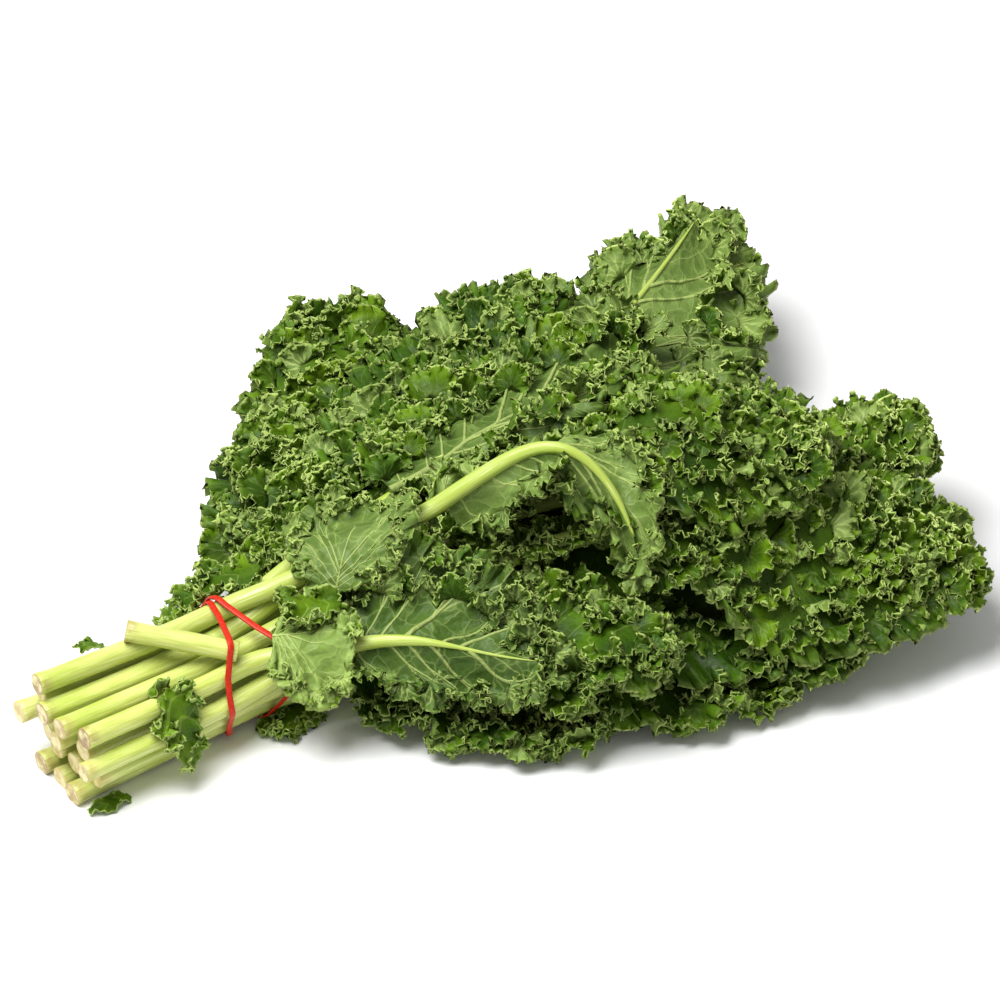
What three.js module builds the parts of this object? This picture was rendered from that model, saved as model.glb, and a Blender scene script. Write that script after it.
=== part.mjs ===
// Bunch of curly kale lying on a flat surface: long-stalked leaves held by a doubled rubber band, a broken
// piece of stalk tucked under the band, and small leaflets among the stalks. Millimetres, +Z up, +X from
// the cut ends to the leaf tips. Inside the bunch's own group x is 0 at the band and z is 0 on the surface;
// the exported group is moved so that its origin is at the middle of the footprint.
//
// A leaf is a stalk, whose midrib runs on along the blade, and a thin frilled blade. The pieces are laid
// down one after another, bottom of the pile first, and each is lifted until it clears what lies there.

import * as THREE from "three";

// ---- stalks and bundle ----
const STALK_R = 4.7; // largest stalk, at the cut end
const STALK_SIDES = 8;
const BLADE_START_SHARE = 0.84; // of a stalk's radius, where its blade begins
const MIDRIB_END_R = 1.1; // where the midrib fades out
const SLOT_PITCH = 10; // between neighbours in one row of the bundle
const ROW_PITCH = 8.8; // between rows
const LEAST_GIRTH = 0.84; // of the thinnest stalk above the lowest row
const BUNDLE_SPREAD = 0.2; // how much wider the bundle is at the cut ends than at the band
const CUT_X = -87; // cut ends, before each leaf's own offset
const CUT_OFFSETS = [-5, 7];
const FLAT_TO_X = -46; // the lowest stalks lie flat on the surface up to here
const BAND_RISE = 6; // and are this much higher at the band
const FREE_FROM = 6; // past the band the stalks are free
const OPENED_AT = 46; // and their rows have spread out by here
const OPENING = 0.12; // by this share of their height
const FREE_STATION = 17; // between a free stalk's cross-sections
const RIB_STATIONS = 8; // along the midrib
const RIB_TAPER = 1.3; // power by which the midrib thins slowly at first
const ARCH_LATE = 1.6; // power that moves an arch's top towards the tip
const CURVE_REACH = 0.36; // how far a line keeps its end's direction, as a share of its span

// ---- blades ----
const BLADE_T = 0.9; // thickness across the blade
const STEEPEST = 3; // most that thickness grows along Z on a steep face
const LEAF_GRID = { steps: 44, rows: [0, 0.3, 0.68, 1] }; // round the outline; midrib to margin
const LEAFLET_GRID = { steps: 16, rows: [0, 0.55, 1] };
const MIDRIB_SHARE = 0.9; // of the blade's length
const VEIN_ROOTS = 1.25; // power that crowds the side veins' roots towards the base
const VEIN_ENDS = 1.35; // and their ends towards the tip
const LOBE = { base: 0.16, fullness: 0.72, forward: 0.8, narrowing: 0.12 }; // the outline's shape
const FRILL = 6.5; // height of the folds at the margin
const FOLD_SHARES = [0.65, 1.15]; // least and most of that height
const SCALLOP = 0.06; // how far they go in and out
const WAVE = 7; // height of the long waves
const WAVE_STEPS = 7.3; // steps in one long wave

// ---- clearances ----
const PILE_GAP = 0.45; // between one piece and the next
const PILE_LOW = [-110, -180]; // corners of the pile's height map
const PILE_HIGH = [350, 200];
const CELL = 1.5; // its grid
const ROUNDS = 90; // of lifting and easing
const CLEAR_WITHIN = 1e-3;
const TUBE_STEP = 0.05; // between a tube's points on the map, as a share of a length
const TUBE_SIDE_STEP = 0.25; // and of its radius
const FEELER_STEP = 0.125; // between feelers along a length
const FEELER_SIDES = [-0.8, -0.4, 0, 0.4, 0.8]; // and across it, as shares of the radius
const FACE_PARTS = { feelers: 4, map: 14 }; // parts along a face's edge
const EASING = 0.6; // share of the way from a point's own lift to its neighbours' in one round
const LEAF_STIFFNESS = 0.82; // share of a lift that is passed on from point to point
const STALK_STIFFNESS = 0.97;
const LEAFLET_STIFFNESS = 0.8;

// ---- band and broken piece ----
const BAND_W = 3.2;
const BAND_T = 1;
const BAND_GAP = 0.5; // between the band and the stalks
const BAND_X = -5; // where the two turns cross, on the far side
const BAND_SLANTS = [-15, 18]; // how far each turn runs along the stalks by the near side
const BAND_LATE = 2; // power that keeps most of that for the near side
const BAND_STEPS = 40; // in one turn
const BAND_LAP = 1.4; // how far one turn rides over the other where they cross
const BAND_ROUNDS = 4; // of evening out each turn's slant
const PIECE = { from: [-46, 12.5], to: [-10, -15], z: [52, 42], r: 4.3 };
const PIECE_ROOM = 1.1; // its radius for the band, which crosses it aslant

// Leaves from the bottom of the pile to its top. slot: row and column in the bundle. tip and aim: where the
// leaf ends in plan and which way it then points, degrees. end: height of the tip with nothing under it.
// start: distance past the band where the blade begins. half: half width. droop: how much lower its margins
// hang. up: the upper face is on top. arch: extra height half way along. tilt: rise towards the left margin.
// leave: the way that the stalk bends as it comes out of the band, degrees. right: how wide its right half
// is, as a share of the left.
const LEAVES = [
  { slot: [0, -1], tip: [112, -106], end: 4, aim: -58, start: 42, half: 34, droop: 2, up: true,
    right: 0.9 },
  { slot: [0, 0], tip: [266, -28], end: 8, aim: -10, start: 100, half: 48, droop: 2, up: true },
  { slot: [0, 1], tip: [235, 94], end: 14, aim: 34, start: 88, half: 46, droop: 2, up: true },
  { slot: [1, -1.5], tip: [196, -124], end: 6, aim: -46, start: 84, half: 42, droop: 4, up: true },
  { slot: [1, 0.5], tip: [272, 18], end: 40, aim: 6, start: 128, half: 44, droop: 6, up: true },
  { slot: [1, 1.5], tip: [147, 157], end: 46, aim: 70, start: 60, half: 46, droop: 6, up: true },
  { slot: [1, -0.5], tip: [244, -128], end: 6, aim: -42, start: 112, half: 46, droop: 10, up: true },
  { slot: [2, -2], tip: [140, -114], end: 6, aim: -52, start: 98, half: 26, droop: 14, up: true },
  { slot: [2, 1], tip: [310, 112], end: 54, aim: 34, start: 176, half: 38, droop: 8, up: false,
    right: 1.4 },
  { slot: [2, 2], tip: [90, 108], end: 38, aim: 80, start: 38, half: 38, droop: 10, up: true },
  { slot: [2, 0], tip: [308, -58], end: 40, aim: -12, start: 160, half: 42, droop: 10, up: true },
  { slot: [2, -1], tip: [284, -126], end: 20, aim: -28, start: 160, half: 46, droop: 10, up: true,
    tilt: 0.4 },
  { slot: [3, 1.5], tip: [220, 114], end: 52, aim: 40, start: 66, half: 46, droop: 6, up: true },
  { slot: [3, -0.5], tip: [246, -72], end: 44, aim: -34, start: 140, half: 46, droop: 18, up: true },
  { slot: [3, 0.5], tip: [232, 48], end: 60, aim: 14, start: 86, half: 42, droop: 8, up: true,
    leave: 4 },
  { slot: [4, 1], tip: [144, -84], end: 42, aim: -104, start: 88, half: 26, droop: 28, up: false,
    arch: 49, leave: -16, right: 0.4 },
  { slot: [3, -1.5], tip: [94, -96], end: 6, aim: -48, start: 30, half: 38, droop: 0, up: false,
    tilt: 0.8, frill: 4.5, wave: 3, right: 0.25, leave: -34 },
];

// Leaflets torn from the stalks: base and tip with their heights, the way the tip points, half width, and
// the leaf that is laid down next, where that isn't the end.
const LEAFLETS = [
  { from: [30, -12, 1], to: [2, -22, 1], half: 8, aim: 200, frill: 0.5, before: 0 },
  { from: [4, -20, 42], to: [30, -42, 24], half: 18, aim: -30, frill: 3.5, tilt: 0.6 },
  { from: [36, -18, 42], to: [70, 14, 66], half: 27, aim: 56, frill: 5 },
  { from: [34, -26, 46], to: [12, -14, 46], half: 9, aim: 160, frill: 3 },
  { from: [-47, -18, 42], to: [-42, -32, 3], half: 9, aim: -80, frill: 3 },
  { from: [-68, -22.5, 1.5], to: [-88, -23.5, 1.5], half: 4.5, aim: 186, frill: 1, before: 0 },
  { from: [-42, -10, 30], to: [-52, -15, 30], half: 4, aim: 200, frill: 1.5 },
  { from: [-52, 20, 43], to: [-64, 23, 47], half: 4.5, aim: 170, frill: 2 },
  { from: [26, 24, 48], to: [-14, 40, 24], half: 14, aim: 140, frill: 4 },
];

const material = (color, roughness) => new THREE.MeshStandardMaterial({ color, roughness, metalness: 0 });
const upperMaterial = material(0x3f6b22, 0.6);
const underMaterial = material(0x6f9a45, 0.7);
const stalkMaterial = material(0xbfd07c, 0.45);
const bandMaterial = material(0xe23a22, 0.4);

const { lerp, clamp, smoothstep, degToRad } = THREE.MathUtils;

// A repeatable number from 0 to 1 for each pair of numbers.
function chance(a, b) {
  const s = Math.sin(a * 12.9898 + b * 78.233) * 43758.5453;
  return s - Math.floor(s);
}

// ---------------------------------------------------------------- lines seen from above

// A line that leaves one point and reaches the other in given directions.
function planCurve(from, to, leaveAngle, arriveAngle) {
  const reach = CURVE_REACH * from.distanceTo(to);
  const step = (angle) => new THREE.Vector2(Math.cos(angle), Math.sin(angle)).multiplyScalar(reach);
  const [ahead, behind] = [from.clone().add(step(leaveAngle)), to.clone().sub(step(arriveAngle))];
  return new THREE.CubicBezierCurve(from, ahead, behind, to);
}

// Point and sideways direction at a distance along the piece's line, straight on beyond its ends.
function planAt(piece, s) {
  const u = clamp(s / piece.length, 0, 1);
  const point = piece.curve.getPointAt(u);
  const along = piece.curve.getTangentAt(u);
  point.addScaledVector(along, s - u * piece.length);
  return { point, side: new THREE.Vector2(-along.y, along.x) };
}

// ---------------------------------------------------------------- heights before anything is laid down

function rowHeight(row) {
  return STALK_R * Math.cos(Math.PI / STALK_SIDES) + row * ROW_PITCH;
}

// Centre of a stalk up to the point where it is free of the band.
function bundlePoint(leaf, x) {
  const spread = 1 + BUNDLE_SPREAD * clamp(x / CUT_X, 0, 1);
  const ground = rowHeight(0);
  const height = ground + (rowHeight(leaf.slot[0]) - ground) * spread;
  const rise = BAND_RISE * smoothstep(x, FLAT_TO_X, 0);
  return new THREE.Vector3(x, leaf.slot[1] * SLOT_PITCH * spread, height + rise);
}

function spineHeight(leaf, s) {
  const held = rowHeight(leaf.slot[0]) + BAND_RISE;
  const opened = held * (1 + OPENING * clamp((s - FREE_FROM) / (OPENED_AT - FREE_FROM), 0, 1));
  const onward = clamp((s - OPENED_AT) / (leaf.length - OPENED_AT), 0, 1);
  const arch = (leaf.arch || 0) * Math.sin(Math.PI * onward ** ARCH_LATE) ** 2;
  return lerp(opened, leaf.end, smoothstep(onward, 0, 1)) + arch;
}

function stalkRadius(leaf, s) {
  const full = STALK_R * leaf.girth;
  if (s <= leaf.start) return full * lerp(1, BLADE_START_SHARE, clamp(s / leaf.start, 0, 1));
  const share = (s - leaf.start) / (MIDRIB_SHARE * (leaf.length - leaf.start));
  return lerp(BLADE_START_SHARE * full, MIDRIB_END_R, clamp(share, 0, 1) ** RIB_TAPER);
}

// ---------------------------------------------------------------- the pile

// Height map of everything laid down so far.
class Pile {
  constructor(low, high) {
    this.low = low;
    this.columns = Math.ceil((high.x - low.x) / CELL);
    this.rows = Math.ceil((high.y - low.y) / CELL);
    this.heights = new Float64Array(this.columns * this.rows);
  }

  cell(x, y) {
    const i = clamp(Math.floor((x - this.low.x) / CELL), 1, this.columns - 2);
    const j = clamp(Math.floor((y - this.low.y) / CELL), 1, this.rows - 2);
    return j * this.columns + i;
  }

  add(x, y, z) {
    const at = this.cell(x, y);
    this.heights[at] = Math.max(this.heights[at], z);
  }

  // The height at a point, or the highest within about a cell and a half of it.
  top(x, y, around) {
    const at = this.cell(x, y);
    if (!around) return this.heights[at];
    let best = 0;
    for (const j of [-this.columns, 0, this.columns])
      for (const i of [-1, 0, 1]) best = Math.max(best, this.heights[at + i + j]);
    return best;
  }

  addSheet(points, faces) {
    for (const face of faces)
      for (const [a, b, c] of FINE_SPREAD) {
        const p = mix(points, face, [a, b, c]);
        this.add(p.x, p.y, p.z + (BLADE_T * STEEPEST) / 2);
      }
  }

  addTube(centres, radii) {
    for (let k = 1; k < centres.length; k++) {
      const [from, to] = [centres[k - 1], centres[k]];
      const side = new THREE.Vector2(from.y - to.y, to.x - from.x).normalize();
      for (let t = 0; t <= 1; t += TUBE_STEP)
        for (let w = -1; w <= 1; w += TUBE_SIDE_STEP) {
          const r = lerp(radii[k - 1], radii[k], t);
          const p = from.clone().lerp(to, t);
          this.add(p.x + side.x * w * r, p.y + side.y * w * r, p.z + r * Math.sqrt(1 - w * w));
        }
    }
  }
}

// Shares of a face's three corners, for points spread evenly over it.
function spread(parts) {
  const shares = [];
  for (let a = 0; a <= parts; a++)
    for (let b = 0; b <= parts - a; b++) shares.push([a / parts, b / parts, (parts - a - b) / parts]);
  return shares;
}
const SPREAD = spread(FACE_PARTS.feelers);
const FINE_SPREAD = spread(FACE_PARTS.map);

function mix(points, corners, share) {
  const sum = new THREE.Vector3();
  corners.forEach((n, k) => sum.addScaledVector(points[n], share[k]));
  return sum;
}

// A piece that is lifted point by point until all of its feelers clear the pile.
class Net {
  points = [];
  near = [];
  held = [];
  feelers = [];

  add(point, held = false) {
    this.points.push(point);
    this.near.push([]);
    this.held.push(held);
    return this.points.length - 1;
  }

  link(a, b) {
    if (a === b) return;
    this.near[a].push(b);
    this.near[b].push(a);
  }

  // Feelers all round the lower half of a tube from one point to another.
  feelTube(a, b, ra, rb) {
    const along = this.points[b].clone().sub(this.points[a]);
    const side = new THREE.Vector2(-along.y, along.x).normalize();
    for (let t = 0; t <= 1; t += FEELER_STEP)
      for (const w of FEELER_SIDES) {
        const r = lerp(ra, rb, t);
        const aside = side.clone().multiplyScalar(w * r);
        this.feelers.push({ corners: [a, b], share: [1 - t, t], aside, below: r * Math.sqrt(1 - w * w) });
      }
  }

  feelSheet(faces) {
    const below = (BLADE_T * STEEPEST) / 2;
    for (const corners of faces)
      for (const share of SPREAD) this.feelers.push({ corners, share, below, around: true });
  }

  // One pass over the feelers; returns the deepest that any was in the pile.
  clear(pile) {
    let worst = 0;
    for (const { corners, share, aside, below, around } of this.feelers) {
      const p = mix(this.points, corners, share);
      const top = pile.top(p.x + (aside?.x || 0), p.y + (aside?.y || 0), around);
      const short = top + PILE_GAP + below - p.z;
      if (short < CLEAR_WITHIN) continue;
      worst = Math.max(worst, short);
      const weight = share.reduce((sum, w) => sum + w * w, 0);
      corners.forEach((n, k) => {
        if (!this.held[n]) this.points[n].z += (short * share[k]) / weight;
      });
    }
    return worst;
  }

  // Clears the pile, handing a share of each point's lift on to the points linked with it.
  settle(pile, stiffness) {
    const rest = this.points.map((p) => p.z);
    for (let round = 0; round < ROUNDS; round++) {
      this.clear(pile);
      const lift = this.points.map((p, n) => p.z - rest[n]);
      this.points.forEach((p, n) => {
        const mean = this.near[n].reduce((sum, m) => sum + lift[m], 0) / this.near[n].length;
        if (!this.held[n]) p.z = rest[n] + Math.max(0, lerp(lift[n], stiffness * mean, EASING));
      });
    }
    for (let round = 0; round < ROUNDS && this.clear(pile) > 0; round++);
  }
}

// ---------------------------------------------------------------- stalks

// The part of a stalk that is free of the band, with its midrib on to the tip.
function spineNet(leaf) {
  const net = new Net();
  const freeParts = Math.max(2, Math.round((leaf.start - FREE_FROM) / FREE_STATION));
  const stations = [];
  for (let k = 0; k < freeParts; k++) stations.push(lerp(FREE_FROM, leaf.start, k / freeParts));
  for (let k = 0; k <= RIB_STATIONS; k++)
    stations.push(lerp(leaf.start, leaf.length, MIDRIB_SHARE * (k / RIB_STATIONS)));
  leaf.stations = [...stations, leaf.length];
  leaf.stations.forEach((s, k) => {
    const { point } = planAt(leaf, s);
    net.add(new THREE.Vector3(point.x, point.y, spineHeight(leaf, s)), k === 0);
    if (!k) return;
    net.link(k - 1, k);
    if (k > 1) net.feelTube(k - 1, k, stalkRadius(leaf, leaf.stations[k - 1]), stalkRadius(leaf, s));
  });
  return net;
}

// Height of the settled spine at any distance along it.
function settledHeight(leaf, s) {
  const at = clamp(s, leaf.stations[0], leaf.length);
  const k = clamp(leaf.stations.findIndex((end) => end >= at), 1, leaf.stations.length - 1);
  const [a, b] = [leaf.stations[k - 1], leaf.stations[k]];
  return lerp(leaf.spine.points[k - 1].z, leaf.spine.points[k].z, (at - a) / (b - a));
}

function stalkLine(leaf) {
  const centres = [leaf.cut, FLAT_TO_X, FLAT_TO_X / 2, -FREE_FROM].map((x) => bundlePoint(leaf, x));
  const radii = centres.map(() => STALK_R * leaf.girth);
  leaf.stations.slice(0, -1).forEach((s, k) => {
    centres.push(leaf.spine.points[k]);
    radii.push(stalkRadius(leaf, s));
  });
  return { centres, radii };
}

// ---------------------------------------------------------------- blades

// Where a side vein leaves the midrib, where it ends and how far out, for q from 0, base, to 1, tip.
function vein(q) {
  const bulge = Math.sin(Math.PI * q ** LOBE.forward) ** LOBE.fullness;
  return {
    root: MIDRIB_SHARE * q ** VEIN_ROOTS,
    end: 1 - (1 - q) ** VEIN_ENDS,
    out: LOBE.base * (1 - q) + bulge * (1 - LOBE.narrowing * q),
  };
}

// How far the fold at this step stands out, alternately above and below.
function fold(seed, step) {
  return (step % 2 ? 1 : -1) * lerp(...FOLD_SHARES, chance(seed, step));
}

// A point of a blade in plan, the distance along the midrib that it is level with, and how far out it is.
function bladePlan(blade, step, share) {
  const q = 1 - Math.abs(1 - (2 * step) / blade.steps);
  const hand = 2 * step <= blade.steps ? 1 : -1;
  const { root, end, out } = vein(q);
  const s = blade.start + (blade.length - blade.start) * lerp(root, end, share);
  const sideways = hand * blade.half * (hand < 0 ? blade.right : 1) * out * share;
  const { point, side } = planAt(blade, s);
  return { point: point.addScaledVector(side, sideways), s, sideways };
}

// The points of a blade before it is laid down; the midrib's points belong to both halves.
function bladeNet(blade, heightAt) {
  const { steps, rows } = blade;
  const net = new Net();
  const grid = rows.map(() => []);
  for (let step = 0; step <= steps; step++)
    rows.forEach((row, k) => {
      if (k === 0 && 2 * step > steps) {
        grid[0].push(grid[0][steps - step]);
        return;
      }
      const margin = k === rows.length - 1;
      const share = margin ? row * (1 + SCALLOP * fold(blade.seed, step + 100)) : row;
      const { point, s, sideways } = bladePlan(blade, step, share);
      const slope = (blade.tilt || 0) * sideways - blade.droop * (sideways / blade.half) ** 2;
      const frill = blade.frill * row ** 3 * fold(blade.seed, step);
      const wave = blade.wave * row ** 2 * Math.sin((2 * Math.PI * step) / WAVE_STEPS + blade.seed);
      grid[k].push(net.add(new THREE.Vector3(point.x, point.y, heightAt(s) + slope + frill + wave)));
    });
  const faces = [];
  for (let step = 0; step < steps; step++)
    for (let k = 1; k < rows.length; k++) {
      const [a, b] = [grid[k - 1][step], grid[k - 1][step + 1]];
      const [d, c] = [grid[k][step], grid[k][step + 1]];
      net.link(a, d);
      net.link(b, c);
      net.link(a, b);
      net.link(d, c);
      if (2 * step < steps) faces.push([a, b, d], [b, c, d]);
      else faces.push([a, b, c], [a, c, d]);
    }
  net.feelSheet(faces);
  return { net, faces };
}

// ---------------------------------------------------------------- solids

function solid(name, vertices, triangles, use) {
  const geometry = new THREE.BufferGeometry().setFromPoints(vertices).setIndex(triangles.flat());
  geometry.computeVertexNormals();
  const mesh = new THREE.Mesh(geometry, use);
  mesh.name = name;
  return mesh;
}

// A sheet with the same faces above and below, and a wall round its edge. On a steep face its thickness
// along Z is larger, so that it is as thick across.
function sheet(name, points, faces, use) {
  const normals = points.map(() => new THREE.Vector3());
  for (const face of faces) {
    const [a, b, c] = face.map((n) => points[n]);
    const normal = b.clone().sub(a).cross(c.clone().sub(a));
    for (const n of face) normals[n].add(normal);
  }
  const half = normals.map((n) => (BLADE_T / 2) * Math.min(STEEPEST, n.length() / Math.max(n.z, 1e-9)));
  const above = points.map((p, n) => new THREE.Vector3(p.x, p.y, Math.max(p.z, half[n]) + half[n]));
  const below = points.map((p, n) => new THREE.Vector3(p.x, p.y, Math.max(p.z, half[n]) - half[n]));
  const lower = points.length;
  const triangles = [];
  const edges = new Set();
  for (const [a, b, c] of faces) {
    triangles.push([a, b, c], [a + lower, c + lower, b + lower]);
    for (const edge of [[a, b], [b, c], [c, a]]) edges.add(String(edge));
  }
  for (const edge of edges) {
    const [from, to] = edge.split(",").map(Number);
    if (edges.has(String([to, from]))) continue;
    triangles.push([from, from + lower, to + lower], [from, to + lower, to]);
  }
  return solid(name, [...above, ...below], triangles, use);
}

// A closed tube with flat sides, one of them facing down. Its first length is straight, so that the lowest
// stalks have a flat to rest on.
function tube(name, centres, radii, use) {
  const section = Array.from({ length: STALK_SIDES }, (_, k) => {
    const turn = (2 * Math.PI * (k + 0.5)) / STALK_SIDES;
    return [-Math.sin(turn), Math.cos(turn)];
  });
  const vertices = centres.flatMap((centre, k) => {
    const ahead = centres[k === 1 ? 1 : Math.min(k + 1, centres.length - 1)];
    const along = ahead.clone().sub(centres[Math.max(k - 1, 0)]).normalize();
    const across = new THREE.Vector3(-along.y, along.x, 0).normalize();
    const up = along.clone().cross(across);
    return section.map(([a, b]) =>
      centre.clone().addScaledVector(across, a * radii[k]).addScaledVector(up, b * radii[k]),
    );
  });
  const n = section.length;
  const triangles = [];
  for (let k = 0; k + 1 < centres.length; k++)
    for (let i = 0; i < n; i++) {
      const [a, b] = [k * n + i, k * n + ((i + 1) % n)];
      triangles.push([a, b, b + n], [a, b + n, a + n]);
    }
  const last = (centres.length - 1) * n;
  for (let i = 1; i + 1 < n; i++) triangles.push([0, i + 1, i], [last, last + i, last + i + 1]);
  return solid(name, vertices, triangles, use);
}

// ---------------------------------------------------------------- laying the pieces down

const bunch = new THREE.Group();
const pile = new Pile(new THREE.Vector2(...PILE_LOW), new THREE.Vector2(...PILE_HIGH));

function layLeaflet(leaflet, number) {
  const [from, to] = [leaflet.from, leaflet.to].map(([x, y]) => new THREE.Vector2(x, y));
  const run = to.clone().sub(from).angle();
  leaflet.curve = planCurve(from, to, run, degToRad(leaflet.aim));
  leaflet.length = leaflet.curve.getLength();
  const shape = { start: 0, seed: 40 + number, droop: 0, wave: leaflet.frill / 2, right: 1 };
  Object.assign(leaflet, LEAFLET_GRID, shape);
  const heightAt = (s) => lerp(leaflet.from[2], leaflet.to[2], clamp(s / leaflet.length, 0, 1));
  const { net, faces } = bladeNet(leaflet, heightAt);
  net.settle(pile, LEAFLET_STIFFNESS);
  pile.addSheet(net.points, faces);
  bunch.add(sheet(`leaflet_${number + 1}`, net.points, faces, upperMaterial));
}

// Lays those leaflets that come before one of the leaves.
function layLeaflets(before) {
  LEAFLETS.forEach((leaflet, number) => {
    if ((leaflet.before ?? LEAVES.length) === before) layLeaflet(leaflet, number);
  });
}

LEAVES.forEach((leaf, number) => {
  layLeaflets(number);
  leaf.seed = number;
  leaf.label = String(number + 1).padStart(2, "0");
  const from = new THREE.Vector2(0, leaf.slot[1] * SLOT_PITCH);
  const tip = new THREE.Vector2(...leaf.tip);
  leaf.curve = planCurve(from, tip, degToRad(leaf.leave || 0), degToRad(leaf.aim));
  leaf.length = leaf.curve.getLength();
  leaf.girth = leaf.slot[0] ? lerp(LEAST_GIRTH, 1, chance(number, 7)) : 1;
  leaf.cut = CUT_X + lerp(...CUT_OFFSETS, chance(number, 3));
  Object.assign(leaf, { ...LEAF_GRID, frill: FRILL, wave: WAVE, right: 1, ...leaf });

  leaf.spine = spineNet(leaf);
  leaf.spine.settle(pile, STALK_STIFFNESS);
  const away = (leaf.up ? 1 : -1) * (PILE_GAP + BLADE_T / 2);
  const heightAt = (s) => settledHeight(leaf, s) + away + Math.sign(away) * stalkRadius(leaf, s);
  const { net, faces } = bladeNet(leaf, heightAt);
  const layStalk = () => {
    const { centres, radii } = stalkLine(leaf);
    pile.addTube(centres, radii);
    bunch.add(tube(`stalk_${leaf.label}`, centres, radii, stalkMaterial));
  };
  const layBlade = () => {
    net.settle(pile, LEAF_STIFFNESS);
    pile.addSheet(net.points, faces);
    bunch.add(sheet(`blade_${leaf.label}`, net.points, faces, leaf.up ? upperMaterial : underMaterial));
  };
  if (leaf.up) {
    layStalk();
    layBlade();
  } else {
    layBlade();
    leaf.spine.settle(pile, STALK_STIFFNESS);
    layStalk();
  }
});

// The broken piece of stalk stays straight and lies across the bundle.
const pieceNet = new Net();
const pieceEnds = [PIECE.from, PIECE.to].map(([x, y], k) => new THREE.Vector3(x, y, PIECE.z[k]));
for (const end of pieceEnds) pieceNet.add(end);
pieceNet.feelTube(0, 1, PIECE.r, PIECE.r);
for (let round = 0; round < ROUNDS && pieceNet.clear(pile) > 0; round++);
bunch.add(tube("broken_piece", pieceEnds, [PIECE.r, PIECE.r], stalkMaterial));
pile.addTube(pieceEnds, [PIECE.r, PIECE.r]);

// ---------------------------------------------------------------- the rubber band

// Where the stalks are at x, as circles in the plane across the bundle.
function circlesAt(x) {
  const circles = LEAVES.map((leaf) => {
    const { centres, radii } = stalkLine(leaf);
    const k = clamp(centres.findIndex((c) => c.x >= x), 1, centres.length - 1);
    const along = centres[k].clone().sub(centres[k - 1]);
    const t = (x - centres[k - 1].x) / along.x;
    const c = centres[k - 1].clone().lerp(centres[k], t);
    return { y: c.y, z: c.z, r: (lerp(radii[k - 1], radii[k], t) * along.length()) / along.x };
  });
  const [from, to] = pieceEnds;
  if (x > from.x && x < to.x + BAND_W) {
    const c = from.clone().lerp(to, Math.min(1, (x - from.x) / (to.x - from.x)));
    circles.push({ y: c.y, z: c.z, r: PIECE_ROOM * PIECE.r });
  }
  return circles;
}

// The furthest point of the bundle in one direction, pushed out by the band's own distance.
function roundBundle(x, angle, outwards) {
  const [u, v] = [Math.cos(angle), Math.sin(angle)];
  const reach = (c) => c.y * u + c.z * v + c.r;
  const far = circlesAt(x).reduce((best, c) => (reach(c) > reach(best) ? c : best));
  const r = far.r + outwards;
  return new THREE.Vector3(x, far.y + r * u, far.z + r * v);
}

// One turn round the bundle from the far side, slanting evenly with the distance that it has run.
function bandTurn(turn) {
  let shares = Array.from({ length: BAND_STEPS }, (_, k) => k / BAND_STEPS);
  let points = [];
  for (let round = 0; round < BAND_ROUNDS; round++) {
    points = shares.map((share, k) => {
      const angle = (2 * Math.PI * k) / BAND_STEPS;
      const lap = BAND_LAP * Math.sin((angle + 2 * Math.PI * turn) / 4) ** 2;
      const x = BAND_X + BAND_SLANTS[turn] * Math.sin(Math.PI * share) ** (2 * BAND_LATE);
      return roundBundle(x, angle, BAND_GAP + BAND_T / 2 + lap);
    });
    const run = [0];
    points.forEach((p, k) => {
      const next = points[(k + 1) % BAND_STEPS];
      run.push(run[k] + Math.hypot(next.y - p.y, next.z - p.z));
    });
    shares = run.slice(0, -1).map((r) => r / run[BAND_STEPS]);
  }
  return points;
}

function bandMesh() {
  const steps = 2 * BAND_STEPS;
  const centres = [...bandTurn(0), ...bandTurn(1)];
  const outs = centres.map((_, k) => {
    const angle = (2 * Math.PI * k) / BAND_STEPS;
    return new THREE.Vector3(0, Math.cos(angle), Math.sin(angle));
  });
  const vertices = centres.flatMap((centre, k) => {
    const along = centres[(k + 1) % steps].clone().sub(centres[(k + steps - 1) % steps]).normalize();
    const across = along.clone().cross(outs[k]).normalize();
    const out = across.clone().cross(along);
    return [[-1, -1], [1, -1], [1, 1], [-1, 1]].map(([a, b]) =>
      centre.clone().addScaledVector(across, (a * BAND_W) / 2).addScaledVector(out, (b * BAND_T) / 2),
    );
  });
  const triangles = [];
  for (let k = 0; k < steps; k++)
    for (let i = 0; i < 4; i++) {
      const [a, b] = [4 * k + i, 4 * k + ((i + 1) % 4)];
      const [d, c] = [4 * ((k + 1) % steps) + i, 4 * ((k + 1) % steps) + ((i + 1) % 4)];
      triangles.push([a, c, b], [a, d, c]);
    }
  pile.addTube(centres, centres.map(() => BAND_W / 2));
  return solid("rubber_band", vertices, triangles, bandMaterial);
}
bunch.add(bandMesh());
layLeaflets(LEAVES.length);

const footprint = new THREE.Box3().setFromObject(bunch);
const middle = footprint.getCenter(new THREE.Vector3());
bunch.position.set(-middle.x, -middle.y, -footprint.min.z);

export default bunch;
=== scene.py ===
"""Bunch of curly kale: frilled blades, ribbed stalks and a rubber band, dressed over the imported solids.

Shapes are worked out in millimetres in the bunch's own frame, where x is 0 at the band and z is 0 on the
surface, and are turned into the part's frame in metres when a mesh is made. A leaf's grid runs round its
outline in steps and from midrib to margin in shares. Its settled heights are read from the solid that it
replaces, and finer ruffles, lobes and veins are added to it.
"""

import math
from types import SimpleNamespace

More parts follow.
